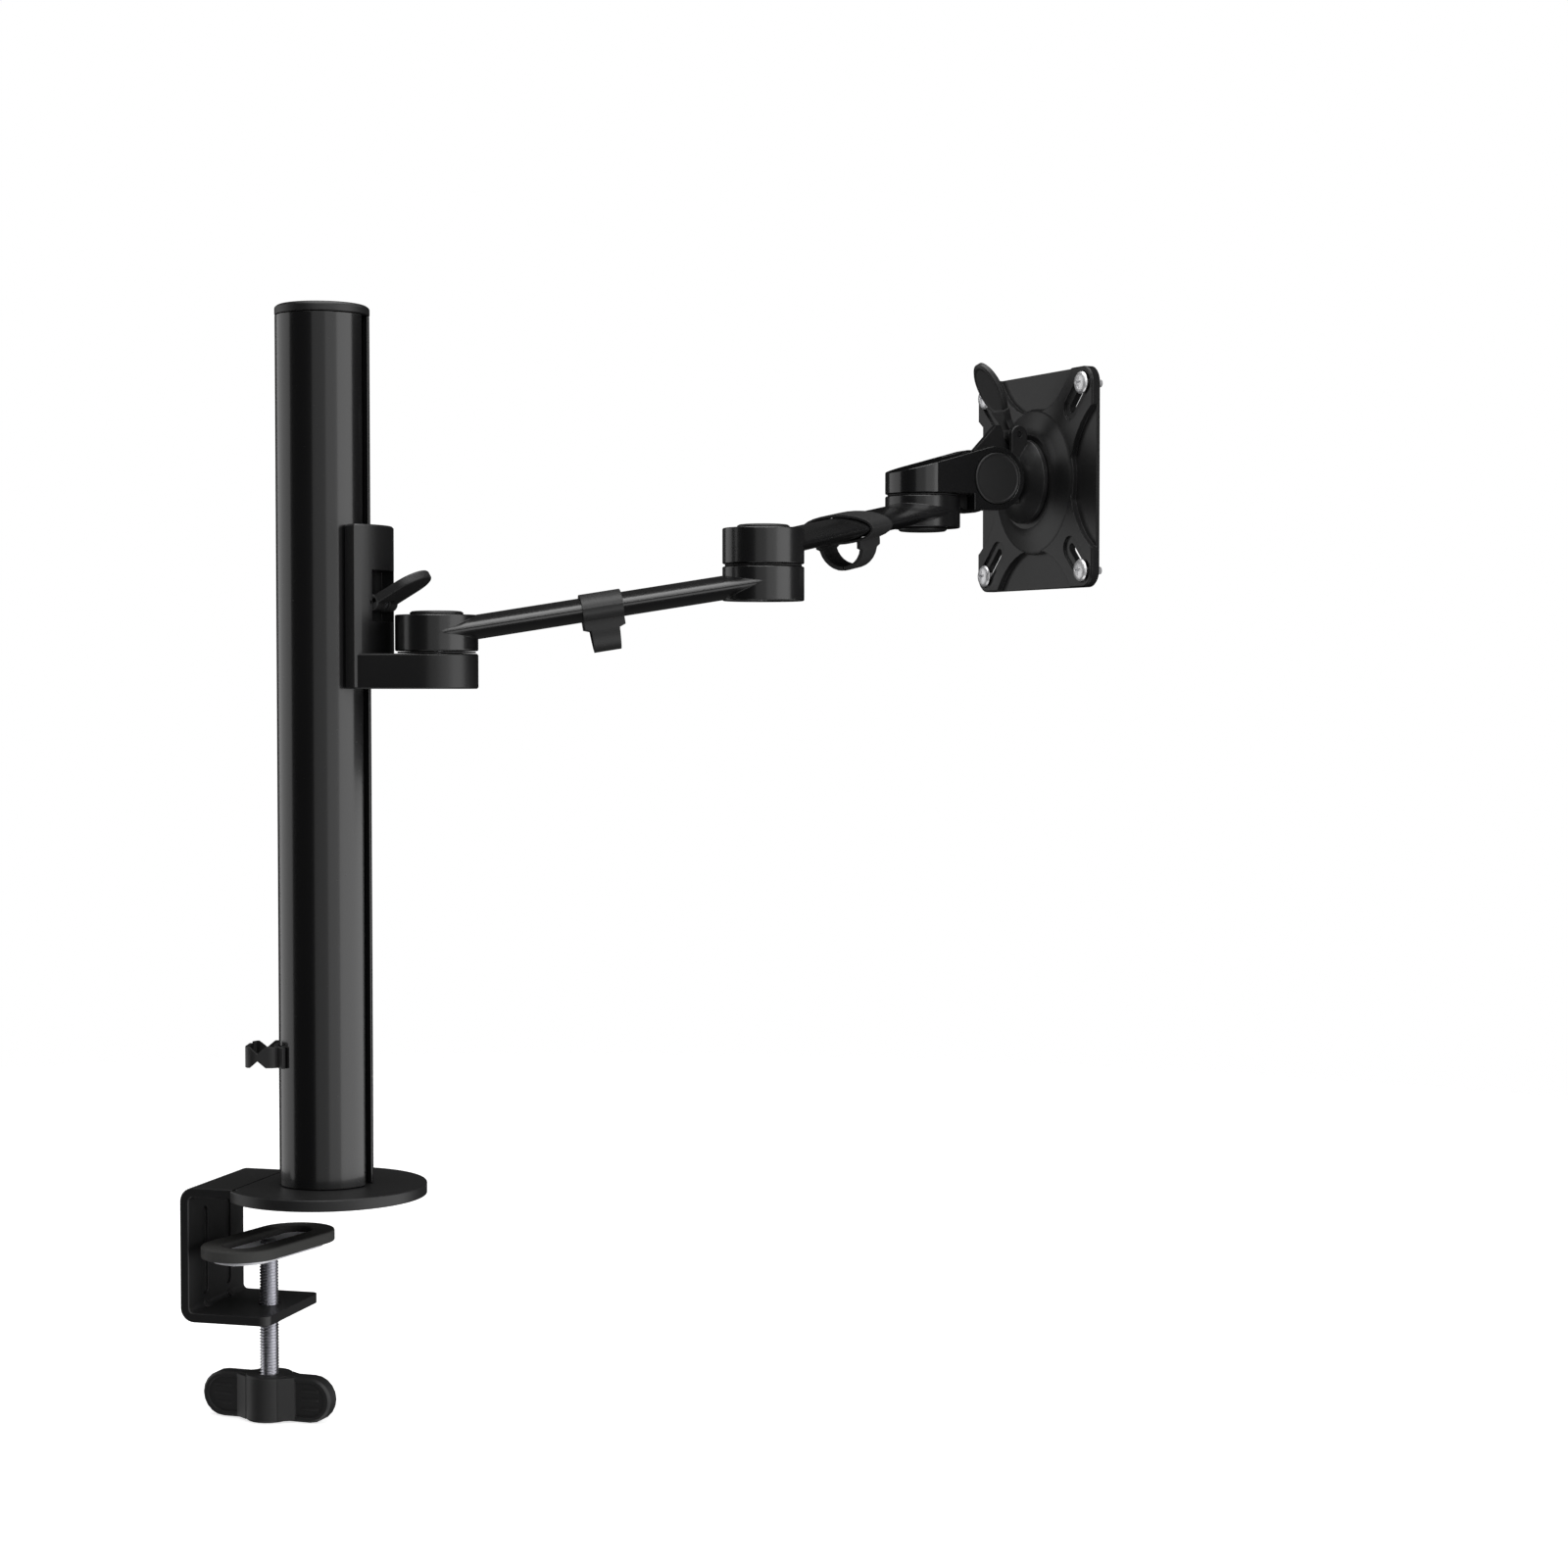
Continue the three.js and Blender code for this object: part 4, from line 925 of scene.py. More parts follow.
class Workshop:
    """Turns surfaces and CAD nodes into finished pieces."""

    def __init__(self) -> None:
        """Builds the shared effects and keeps the materials made so far."""
        self.groups = GroupLibrary()
        self.made: dict[str, bpy.types.Material] = {}

    def material(self, finish: Finish) -> bpy.types.Material:
        """Returns the finish's material, built on first use.

        Args:
            finish: The finish.

        Returns:
            Its material.
        """
        if finish.name not in self.made:
            self.made[finish.name] = finish.material(self.groups)
        return self.made[finish.name]

    def dress_node(self, node: str, finish: Finish) -> None:
        """Gives a CAD node that stays in view its finish.

        Args:
            node: The CAD node.
            finish: The finish.
        """
        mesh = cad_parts[node].data
        mesh.materials.clear()
        mesh.materials.append(self.material(finish))
        log.info("dressed node %s", node)

    def piece(
        self,
        name: str,
        surface: Surface,
        body: Body,
        slot: Slot,
        finish: Finish,
        nodes: list[str],
        angle: float = 35.0,
    ) -> bpy.types.Object:
        """Makes a piece from a surface.

        Args:
            name: Name of the piece.
            surface: Its shells in millimetres.
            body: The body it rides on.
            slot: The record's slot of the piece; not used.
            finish: Its finish.
            nodes: CAD nodes that it stands for.
            angle: Edges sharper than this stay crisp, in degrees.

        Returns:
            The object.
        """
        mesh = bpy.data.meshes.new(name)
        listed = [face for block in surface.faces for face in block.tolist()]
        mesh.from_pydata((surface.points * MM).tolist(), [], listed)
        shells = bmesh.new()
        shells.from_mesh(mesh)
        bmesh.ops.remove_doubles(shells, verts=shells.verts, dist=MERGE_SHELL)
        bmesh.ops.recalc_face_normals(shells, faces=shells.faces)
        shells.to_mesh(mesh)
        shells.free()
        return self.finished(name, mesh, body, finish, nodes, angle)

    def softened(
        self,
        name: str,
        node: str,
        body: Body,
        slot: Slot,
        finish: Finish,
        width: float,
        segments: int = 3,
        angle: float = 32.0,
    ) -> bpy.types.Object:
        """Makes a copy of a CAD node with its flats joined and its edges rolled over.

        Args:
            name: Name of the piece.
            node: The CAD node.
            body: The body it rides on.
            slot: The record's slot of the piece; not used.
            finish: Its finish.
            width: Width of the rolled edge in millimetres.
            segments: Faces across the rolled edge.
            angle: Edges sharper than this are rolled, in degrees.

        Returns:
            The object.
        """
        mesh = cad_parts[node].data.copy()
        mesh.name = name
        shell = bmesh.new()
        shell.from_mesh(mesh)
        bmesh.ops.remove_doubles(shell, verts=shell.verts, dist=MERGE_CAD)
        flat = math.radians(FLAT_ANGLE)
        bmesh.ops.dissolve_limit(shell, angle_limit=flat, verts=shell.verts, edges=shell.edges)
        bmesh.ops.recalc_face_normals(shell, faces=shell.faces)
        shell.to_mesh(mesh)
        shell.free()
        made = self.finished(name, mesh, body, finish, [node], angle)
        roll = made.modifiers.new("rolled_edges", "BEVEL")
        roll.width = width * MM
        roll.segments = segments
        roll.limit_method = "ANGLE"
        roll.angle_limit = math.radians(angle)
        roll.use_clamp_overlap = True
        roll.harden_normals = False
        made.modifiers.move(len(made.modifiers) - 1, 0)
        return made

    def finished(
        self,
        name: str,
        mesh: bpy.types.Mesh,
        body: Body,
        finish: Finish,
        nodes: list[str],
        angle: float,
    ) -> bpy.types.Object:
        """Shades, dresses and mounts a mesh.

        Args:
            name: Name of the piece.
            mesh: Its mesh, in place and in metres.
            body: The body it rides on.
            finish: Its finish.
            nodes: CAD nodes that it stands for.
            angle: Edges sharper than this stay crisp, in degrees.

        Returns:
            The object.
        """
        mesh.shade_smooth()
        mesh.set_sharp_from_angle(angle=math.radians(angle))
        mesh.materials.clear()
        mesh.materials.append(self.material(finish))
        made = bpy.data.objects.new(name, mesh)
        bpy.context.scene.collection.objects.link(made)
        weigh = made.modifiers.new("face_weights", "WEIGHTED_NORMAL")
        weigh.keep_sharp = True
        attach(made, body.value)
        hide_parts(*nodes)
        log.info("made %s from %d faces", name, len(mesh.polygons))
        return made


def centre_of(node: str) -> Vector:
    """Returns the middle of a CAD node's box in millimetres.

    Args:
        node: The CAD node.

    Returns:
        The middle.
    """
    low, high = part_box(node)
    return (low + high) / 2 / MM


def span_of(node: str) -> tuple[float, float]:
    """Returns the lowest and highest height of a CAD node in millimetres.

    Args:
        node: The CAD node.

    Returns:
        The two heights.
    """
    low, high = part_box(node)
    return low.z / MM, high.z / MM


# ---------------------------------------------------------------- sub-assemblies


@dataclass
class DeskClamp:
    """Base disc, bent clamp, spindle, knob and foot."""

    workshop: Workshop
    disc_radius: float = 49.42
    weld_x: float = -36.0
    flange_half: float = 31.0
    notch_radius: float = 2.0
    thread_pitch: float = 1.5
    thread_depth: float = 0.85
    thread_fade: float = 1.5
    screw_radius: float = 4.85
    shoulder_gap: float = 1.1
    neck_height: float = 1.9
    foot_heading: float = 79.0
    foot_size: tuple[float, float] = (84.0, 40.0)
    foot_slot: tuple[float, float] = (64.0, 18.0)
    plate_size: tuple[float, float] = (72.0, 30.0)

    def base_disc(self) -> Surface:
        """Disc with its flat weld side and two relief notches: an outline carried up with rolled edges.

        Returns:
            The surface.
        """
        edge = math.degrees(math.acos(self.weld_x / self.disc_radius))
        upper = arc(self.notch_radius, 90, -90, 14, self.weld_x, self.flange_half)
        lower = arc(self.notch_radius, 90, -90, 14, self.weld_x, -self.flange_half)
        outline = np.vstack([arc(self.disc_radius, -edge, edge, 150), upper, lower])
        bottom, top = span_of("base_plate")
        return extruded([outline], rim_rings(bottom, top, 0.4, 0.7))

    def spindle(self) -> Surface:
        """Threaded spindle: P(z, t) = (r cos t, r sin t, z).

        The radius is r = R(z) - d fade(z) |2 frac(z / p - t / 2 pi) - 1|, with depth d and pitch p.

        Returns:
            The surface.
        """
        bottom, top = span_of("clamp_screw")
        shoulder = span_of("foot_plate")[0] - self.shoulder_gap
        turns = np.arange(bottom + 0.4, shoulder, self.thread_pitch / 8)
        head = top - self.neck_height
        ends = [shoulder, shoulder + 0.7, shoulder + 0.71, head, head + 0.01, head + 1.4, top]
        heights = np.concatenate([[bottom], turns, ends])
        known = [bottom, bottom + 0.9, *ends]
        widths = [4.0, self.screw_radius, self.screw_radius, 4.1, 2.4, 2.4, 4.15, 3.5, 1.8]
        t = np.linspace(0, 2 * math.pi, 40, endpoint=False)
        radius = np.interp(heights, known, widths)[:, None]
        to_end = np.minimum(heights - bottom, shoulder - heights)[:, None]
        fade = np.clip(to_end / self.thread_fade, 0, 1)
        wave = np.abs(2 * np.mod(heights[:, None] / self.thread_pitch - t / (2 * math.pi), 1.0) - 1)
        r = radius - self.thread_depth * fade * wave
        grid = np.stack([r * np.cos(t), r * np.sin(t), heights[:, None] + 0 * t], axis=2)
        axis = centre_of("clamp_screw")
        return lofted(grid).placed(shift(axis.x, axis.y, 0))

    def foot_place(self) -> Matrix:
        """Returns the foot's own frame: its length along X, turned about the spindle's axis."""
        axis = centre_of("clamp_screw")
        return shift(axis.x, axis.y, 0) @ turn("Z", self.foot_heading)

    def foot_pad(self) -> Surface:
        """Long pad with a slot: two racetracks carried up with rolled edges.

        Returns:
            The surface.
        """
        bottom, top = span_of("foot_pad")
        loops = [racetrack(*self.foot_size), racetrack(*self.foot_slot)[::-1]]
        return extruded(loops, rim_rings(bottom, top, 0.5, 0.9)).placed(self.foot_place())

    def foot_plate(self) -> Surface:
        """Pressed plate under the pad: a raised middle in the pad's slot, and a bore for the spindle.

        Returns:
            The surface.
        """
        bottom, top = span_of("foot_plate")
        flange = span_of("foot_pad")[0] - 0.3
        bore = arc(2.7, 360, 0, 33)[:-1]
        plate = extruded([racetrack(*self.plate_size), bore], rim_rings(bottom, flange, 0.4, 0.3))
        slot = racetrack(self.foot_slot[0] - 0.7, self.foot_slot[1] - 0.7)
        boss = extruded([slot, bore], rim_rings(flange - 0.5, top, 0.1, 0.8))
        return (plate + boss).placed(self.foot_place())

    def build(self) -> None:
        """Makes and dresses the clamp."""
        shop = self.workshop
        shop.piece("base_disc", self.base_disc(), Body.BASE, Slot.STEEL, SATIN_STEEL, ["base_plate"])
        shop.softened("bent_clamp", "clamp_bracket", Body.BASE, Slot.STEEL, SATIN_STEEL, 0.5)
        shop.dress_node("base_pad", RUBBER)
        shop.piece("threaded_spindle", self.spindle(), Body.SPINDLE, Slot.ZINC, ZINC, ["clamp_screw"], 60)
        shop.softened("wing_knob", "clamp_knob", Body.SPINDLE, Slot.PLASTIC, MOULDED, 0.6)
        shop.piece("foot_cushion", self.foot_pad(), Body.FOOT, Slot.PLASTIC, RUBBER, ["foot_pad"])
        shop.piece("foot_washer_plate", self.foot_plate(), Body.FOOT, Slot.ZINC, MATT_ZINC, ["foot_plate"])
        shop.dress_node("foot_rivet_1", ZINC)
        shop.dress_node("foot_rivet_2", ZINC)


@dataclass
class Pole:
    """Slotted pole, its cap, its end screws and its cable clip."""

    workshop: Workshop
    radius: float = 23.0
    slot_half: float = 3.6
    lip: float = 3.2
    channel_half: float = 8.2
    channel_floor: float = 12.4

    def tube(self) -> Surface:
        """Extrusion with a T slot on its +X side: the outline carried up.

        Returns:
            The surface.
        """
        mouth = math.degrees(math.asin(self.slot_half / self.radius))
        round_side = arc(self.radius, mouth, 360 - mouth, 181)
        face = self.radius - self.lip
        channel = np.array(
            [
                [face, -self.slot_half],
                [face, -self.channel_half],
                [self.channel_floor, -self.channel_half],
                [self.channel_floor, self.channel_half],
                [face, self.channel_half],
                [face, self.slot_half],
            ]
        )
        radii = np.concatenate([[0.6], np.zeros(len(round_side) - 2), [0.6, 0.3, 0.3, 0.8, 0.8, 0.3, 0.3]])
        outline = filleted(np.vstack([round_side, channel]), radii, 5, True)
        bottom, top = span_of("pole_tube")
        return extruded([outline], rim_rings(bottom, top, 0.3, 0.3, 2))

    def cap(self) -> Surface:
        """Low domed cap with a rolled edge.

        Returns:
            The surface.
        """
        top = span_of("pole_cap")[1]
        rim = span_of("pole_tube")[1] + 0.3
        r = self.radius
        skirt = [(0, rim), (r, rim), (r + 0.15, rim + 0.5)]
        crown = [(r + 0.15, top - 1.7), (r - 1.4, top - 0.4), (0, top)]
        return turned(skirt + crown, [0, 0.2, 0.2, 1.2, 2.5, 0], 128)

    def build(self) -> None:
        """Makes and dresses the pole."""
        shop = self.workshop
        shop.piece("pole_extrusion", self.tube(), Body.BASE, Slot.GLOSS, POLE_GLOSS, ["pole_tube"], 30)
        shop.piece("pole_top_cap", self.cap(), Body.BASE, Slot.PLASTIC, CAP_PLASTIC, ["pole_cap"])
        shop.softened("pole_clip", "pole_cable_clip", Body.BASE, Slot.PLASTIC, MOULDED, 0.4)
        for index in (1, 2, 3):
            shop.dress_node(f"pole_screw_{index}", ZINC)


@dataclass
class Slider:
    """Sliding bracket, its liner, clamp stud and height lever."""

    workshop: Workshop
    lever_half: float = 12.7
    lever_length: float = 28.9
    lever_thick: float = 2.3
    lever_angle: float = 30.0
    eye_half: float = 2.7
    eye_room: float = 5.4
    barrel_radius: float = 4.2
    pin_bore: float = 1.45

    def lever(self) -> Surface:
        """Rounded tab with two pivot barrels: an outline carried up, and two turned rings beside the eye.

        Returns:
            The surface.
        """
        tip = arc(self.lever_half, -90, 90, 40, self.lever_length - self.lever_half)
        root = np.array(
            [
                [0, self.lever_half],
                [0, self.eye_half],
                [self.eye_room, self.eye_half],
                [self.eye_room, -self.eye_half],
                [0, -self.eye_half],
                [0, -self.lever_half],
            ]
        )
        thick = self.lever_thick
        tab = extruded([np.vstack([tip, root])], rim_rings(-thick, thick, 1.3, 1.3, 6))
        r, bore = self.barrel_radius, self.pin_bore
        a, b = self.eye_half, self.lever_half
        ring = turned([(bore, a), (r, a), (r, b), (bore, b)], [0.2, 0.4, 0.8, 0.2], 48, True)
        near = ring.placed(turn("X", 90))
        far = ring.placed(turn("X", -90))
        pin = centre_of("height_lever_pin")
        return (tab + near + far).placed(shift(pin.x, pin.y, pin.z) @ turn("Y", -self.lever_angle))

    def build(self) -> None:
        """Makes and dresses the slider."""
        shop = self.workshop
        shop.softened("pole_bracket", "slider_bracket", Body.SLIDER, Slot.SATIN, SATIN_CAST, 0.7)
        shop.piece("height_tab", self.lever(), Body.HEIGHT_LEVER, Slot.PLASTIC, MOULDED, ["height_lever"])
        shop.dress_node("slider_liner", NYLON)
        shop.dress_node("shoulder_friction_washer", NYLON)
        shop.dress_node("height_lever_pin", BLACK_PIN)
        for node in ("slot_nut", "draw_stud", "shoulder_nut", "shoulder_bolt", "shoulder_spring_washer"):
            shop.dress_node(node, ZINC)


@dataclass
class Link:
    """One link: a lens tube that rises between two round hubs, with its cap and cable clip."""

    workshop: Workshop
    name: str
    near: str
    far: str
    body: Body
    cap_nodes: list[str] = field(default_factory=list)
    hub_radius: float = 20.2
    near_height: float = 17.6
    far_span: tuple[float, float] = (24.8, 41.7)
    half_width: float = 20.0
    half_height: float = 6.0
    lens_power: float = 1.7
    tube_rise: tuple[float, float] = (8.6, 34.4)
    tube_inset: float = 0.4
    bore: float = 4.4
    pocket: float = 11.6
    pocket_depth: float = 8.4

    def heading(self) -> float:
        """Returns the link's heading in degrees, from its near axis to its far axis."""
        way = centre_of(self.far) - centre_of(self.near)
        return math.degrees(math.atan2(way.y, way.x))

    def length(self) -> float:
        """Returns the distance between the two axes in millimetres."""
        way = centre_of(self.far) - centre_of(self.near)
        return math.hypot(way.x, way.y)

    def place(self) -> Matrix:
        """Returns the link's own frame: near axis along Z, tube along X."""
        start = centre_of(self.near)
        return shift(start.x, start.y, span_of(self.name)[0]) @ turn("Z", self.heading())

    def hub(self, bottom: float, top: float, pocket_up: bool) -> Surface:
        """Turned hub with a bore and a pocket for the joint's hardware.

        Args:
            bottom: Lowest height.
            top: Highest height.
            pocket_up: True when the pocket opens at the top.

        Returns:
            The surface.
        """
        r, bore, pocket, deep = self.hub_radius, self.bore, self.pocket, self.pocket_depth
        if pocket_up:
            wall = [(bore, bottom), (r, bottom), (r, top)]
            recess = [(pocket, top), (pocket, top - deep), (bore, top - deep)]
            return turned(wall + recess, [0.2, 0.7, 0.7, 0.3, 0.2, 0.2], 128, True)
        recess = [(bore, bottom + deep), (pocket, bottom + deep), (pocket, bottom)]
        wall = [(r, bottom), (r, top), (bore, top)]
        return turned(recess + wall, [0.2, 0.2, 0.3, 0.7, 0.7, 0.2], 128, True)

    def tube(self) -> Surface:
        """Lens tube on a straight rising line: |y / a|^p + |z / b|^p = 1 in planes square to the line.

        Returns:
            The surface.
        """
        low, high = self.tube_rise
        length = self.length()
        along = np.linspace(self.tube_inset, length - self.tube_inset, 64)
        t = np.linspace(0, 2 * math.pi, 128, endpoint=False)
        power = 2 / self.lens_power
        side = self.half_width * np.sign(np.cos(t)) * np.abs(np.cos(t)) ** power
        rise = self.half_height * np.sign(np.sin(t)) * np.abs(np.sin(t)) ** power
        slope = math.atan2(high - low, length)
        line = low + (high - low) * along / length
        x = along[:, None] - rise * math.sin(slope)
        z = line[:, None] + rise * math.cos(slope)
        y = np.broadcast_to(side, x.shape)
        return lofted(np.stack([x, -y, z], axis=2))

    def build(self) -> None:
        """Makes and dresses the link."""
        shop = self.workshop
        near = self.hub(0.0, self.near_height, True)
        far = self.hub(*self.far_span, False).placed(shift(self.length(), 0, 0))
        shape = (near + far + self.tube()).placed(self.place())
        finish = link_gloss(f"{self.name}_gloss_black", self.heading())
        shop.piece(f"{self.name}_casting", shape, self.body, Slot.GLOSS, finish, [self.name])
        shop.softened(f"{self.name}_clip", f"{self.name}_cable_clip", self.body, Slot.PLASTIC, MOULDED, 0.35)
        for node in self.cap_nodes:
            self.cap(node)

    def cap(self, node: str) -> None:
        """Makes the hub cap that stands for a CAD node: a low turned button with a groove.

        Args:
            node: The CAD node.
        """
        low, high = span_of(node)
        tall = high - low
        rim = [(0, 0), (13, 0), (13, 0.8), (12.0, 1.45), (10.6, 1.6)]
        groove = [(10.3, 1.3), (9.9, 1.3), (9.6, 1.65), (0, tall)]
        shape = turned(rim + groove, [0, 0.1, 0.4, 0.8, 0.15, 0.1, 0.1, 0.2, 0], 96)
        middle = centre_of(node)
        if node == "wrist_cap":
            shape = shape.placed(shift(middle.x, middle.y, high) @ turn("X", 180))
        else:
            shape = shape.placed(shift(middle.x, middle.y, low))
        self.workshop.piece(f"{node}_button", shape, self.body, Slot.PLASTIC, CAP_PLASTIC, [node])


@dataclass
class Head:
    """Wrist fork, tilt block with its release lever, and the side caps."""

    workshop: Workshop
    fork_half: float = 18.0
    cap_radius: float = 13.8
    lever_angle: float = 118.8
    paddle: tuple[float, float] = (15.5, 10.6)
    lever_length: float = 43.5
    neck_half: float = 4.4
    neck_flare: float = 7.4
    neck_thick: float = 2.1
    barrel_radius: float = 4.6
    pin_bore: float = 1.45

    def heading(self) -> float:
        """Returns the head's heading in degrees, from the wrist axis to the plate."""
        way = centre_of("retaining_disc") - centre_of("wrist_friction_washer")
        return math.degrees(math.atan2(way.y, way.x))

    def tilt_place(self) -> Matrix:
        """Returns the tilt axis' frame: its X towards the plate and its Y along the axis."""
        axis = centre_of("tilt_washer_near").lerp(centre_of("tilt_washer_far"), 0.5)
        return shift(axis.x, axis.y, axis.z) @ turn("Z", self.heading())

    def cap(self, side: int) -> Surface:
        """Turned side cap with a rolled edge and a faint dish.

        Args:
            side: -1 for the near cap, 1 for the far one.

        Returns:
            The surface.
        """
        face = self.fork_half - 0.9
        r = self.cap_radius
        wall = [(0, face), (r, face), (r, face + 1.7)]
        top = [(r - 1.0, face + 1.8), (r - 1.6, face + 1.5), (0, face + 1.5)]
        shape = turned(wall + top, [0, 0.1, 0.6, 0.3, 0.6, 0], 128)
        return shape.placed(self.tilt_place() @ turn("X", -90 * side))

    def lever(self) -> Surface:
        """Dished oval paddle on a neck and a pivot barrel.

        The paddle is a profile turned about Z and stretched to an oval: P = (a rho cos v, b rho sin v, z).

        Returns:
            The surface.
        """
        a, b = self.paddle
        underside = [(0, -1.7), (0.8, -1.7), (0.9, -2.2), (1.0, -1.2)]
        topside = [(1.0, 1.2), (0.9, 2.2), (0.8, 1.6), (0, 1.5)]
        radii = np.array([0, 0.05, 0.04, 0.06, 0.06, 0.04, 0.05, 0])
        rounded = filleted(np.array(underside + topside), radii, 5)
        oval = revolved(rounded, 96).scaled(a, b, 1.0).placed(shift(self.lever_length - a, 0, 0))
        half, flare, thick = self.neck_half, self.neck_flare, self.neck_thick
        corners = [(0, -half), (9, -half), (16, -flare), (16, flare), (9, half), (0, half)]
        outline = filleted(np.array(corners), np.array([0, 6, 1, 1, 6, 0]), 6, True)
        neck = extruded([outline], rim_rings(-thick, thick, 0.8, 0.8))
        r, bore = self.barrel_radius, self.pin_bore
        wall = [(bore, -half), (r, -half), (r, half), (bore, half)]
        barrel = turned(wall, [0.2, 0.5, 0.5, 0.2], 48, True)
        pin = centre_of("release_lever_pin")
        place = shift(pin.x, pin.y, pin.z) @ turn("Z", self.heading()) @ turn("Y", -self.lever_angle)
        return (oval + neck + barrel.placed(turn("X", 90))).placed(place)

    def build(self) -> None:
        """Makes and dresses the head."""
        shop = self.workshop
        shop.softened("wrist_fork", "head_bracket", Body.HEAD, Slot.GLOSS, HEAD_GLOSS, 0.6)
        shop.softened("tilt_casting", "tilt_body", Body.TILT_BLOCK, Slot.SATIN, SATIN_CAST, 0.5)
        paddle = self.lever()
        shop.piece("release_paddle", paddle, Body.RELEASE_LEVER, Slot.PLASTIC, MOULDED, ["release_lever"])
        shop.piece("near_side_cap", self.cap(-1), Body.HEAD, Slot.PLASTIC, CAP_PLASTIC, ["tilt_cap_near"])
        shop.piece("far_side_cap", self.cap(1), Body.HEAD, Slot.PLASTIC, CAP_PLASTIC, ["tilt_cap_far"])
        for node in ("tilt_washer_near", "tilt_washer_far", "wrist_friction_washer"):
            shop.dress_node(node, NYLON)
        shop.dress_node("release_lever_pin", BLACK_PIN)
        for node in ("wrist_bolt", "wrist_spring_washer", "tilt_bolt", "tilt_nut"):
            shop.dress_node(node, ZINC)


@dataclass
class MountingPlate:
    """Screen plate, its four screws and its retaining disc."""

    workshop: Workshop
    head_radius: float = 6.0
    head_height: float = 2.8
    shank_radius: float = 2.0
    shank_length: float = 12.0
    recess_arm: float = 2.9
    recess_half: float = 0.62
    recess_depth: float = 1.7

    def screw(self) -> Surface:
        """Pan-head screw with a cross recess, on a polar grid.

        The top is z = h - 1.3 s^2 - 0.9 s^8 - depth arm(r) max(bar(x), bar(y)), with s = r / head radius,
        where bar fades across each arm of the recess and arm fades at its end.

        Returns:
            The surface.
        """
        rho = np.concatenate([np.linspace(0.05, 3.6, 34), np.linspace(3.8, self.head_radius, 12)])[:, None]
        t = np.linspace(0, 2 * math.pi, 96, endpoint=False)[None, :]
        x, y = rho * np.cos(t), rho * np.sin(t)
        share = rho / self.head_radius
        dome = self.head_height - 1.3 * share**2 - 0.9 * share**8 + 0 * t
        length = np.clip((self.recess_arm - rho) / 0.35, 0, 1)
        bars = [np.clip((self.recess_half - np.abs(across)) / 0.16, 0, 1) for across in (x, y)]
        top = dome - self.recess_depth * length * np.maximum(*bars)
        shank, tip, edge = self.shank_radius, -self.shank_length, self.head_radius
        below = np.array([[edge, 0.3], [edge - 0.3, 0.0], [shank, 0.0], [shank, tip], [0.05, tip]])
        under = np.stack([below[:, :1] * np.cos(t), below[:, :1] * np.sin(t), below[:, 1:] + 0 * t], axis=2)
        over = np.stack([x, y, top], axis=2)
        return lofted(np.concatenate([under[::-1], over[::-1]], axis=0))

    def build(self, heading: float) -> None:
        """Makes and dresses the plate.

        Args:
            heading: The head's heading in degrees.
        """
        shop = self.workshop
        shop.softened("screen_plate", "mounting_plate", Body.PLATE, Slot.STEEL, SATIN_CAST, 0.5)
        facing = turn("Z", heading) @ turn("Y", -90)
        away = (turn("Z", heading) @ Vector((-1, 0, 0))).normalized()
        for index in (1, 2, 3, 4):
            node = f"plate_screw_{index}"
            middle = centre_of(node)
            total = self.head_height + self.shank_length
            seat = middle + away * (total / 2 - self.head_height)
            shape = self.screw().placed(shift(*seat) @ facing)
            shop.piece(f"screen_screw_{index}", shape, Body.PLATE, Slot.ZINC, SCREW_HEAD_ZINC, [node], 40)
        shop.dress_node("retaining_disc", ZINC)
        shop.dress_node("retaining_screw", ZINC)


# ---------------------------------------------------------------- studio


@dataclass(frozen=True)
class SoftBox:
    """A rectangular light that faces a point."""

    name: str
    place: tuple[float, float, float]
    aim: tuple[float, float, float]
    width: float
    height: float
    power: float

    def build(self) -> None:
        """Hangs the light."""
        data = bpy.data.lights.new(self.name, "AREA")
        data.shape = "RECTANGLE"
        data.size = self.width
        data.size_y = self.height
        data.energy = self.power
        light = bpy.data.objects.new(self.name, data)
        bpy.context.scene.collection.objects.link(light)
        light.location = self.place
        way = Vector(self.aim) - Vector(self.place)
        light.rotation_euler = way.to_track_quat("-Z", "Y").to_euler()
        light.visible_camera = False


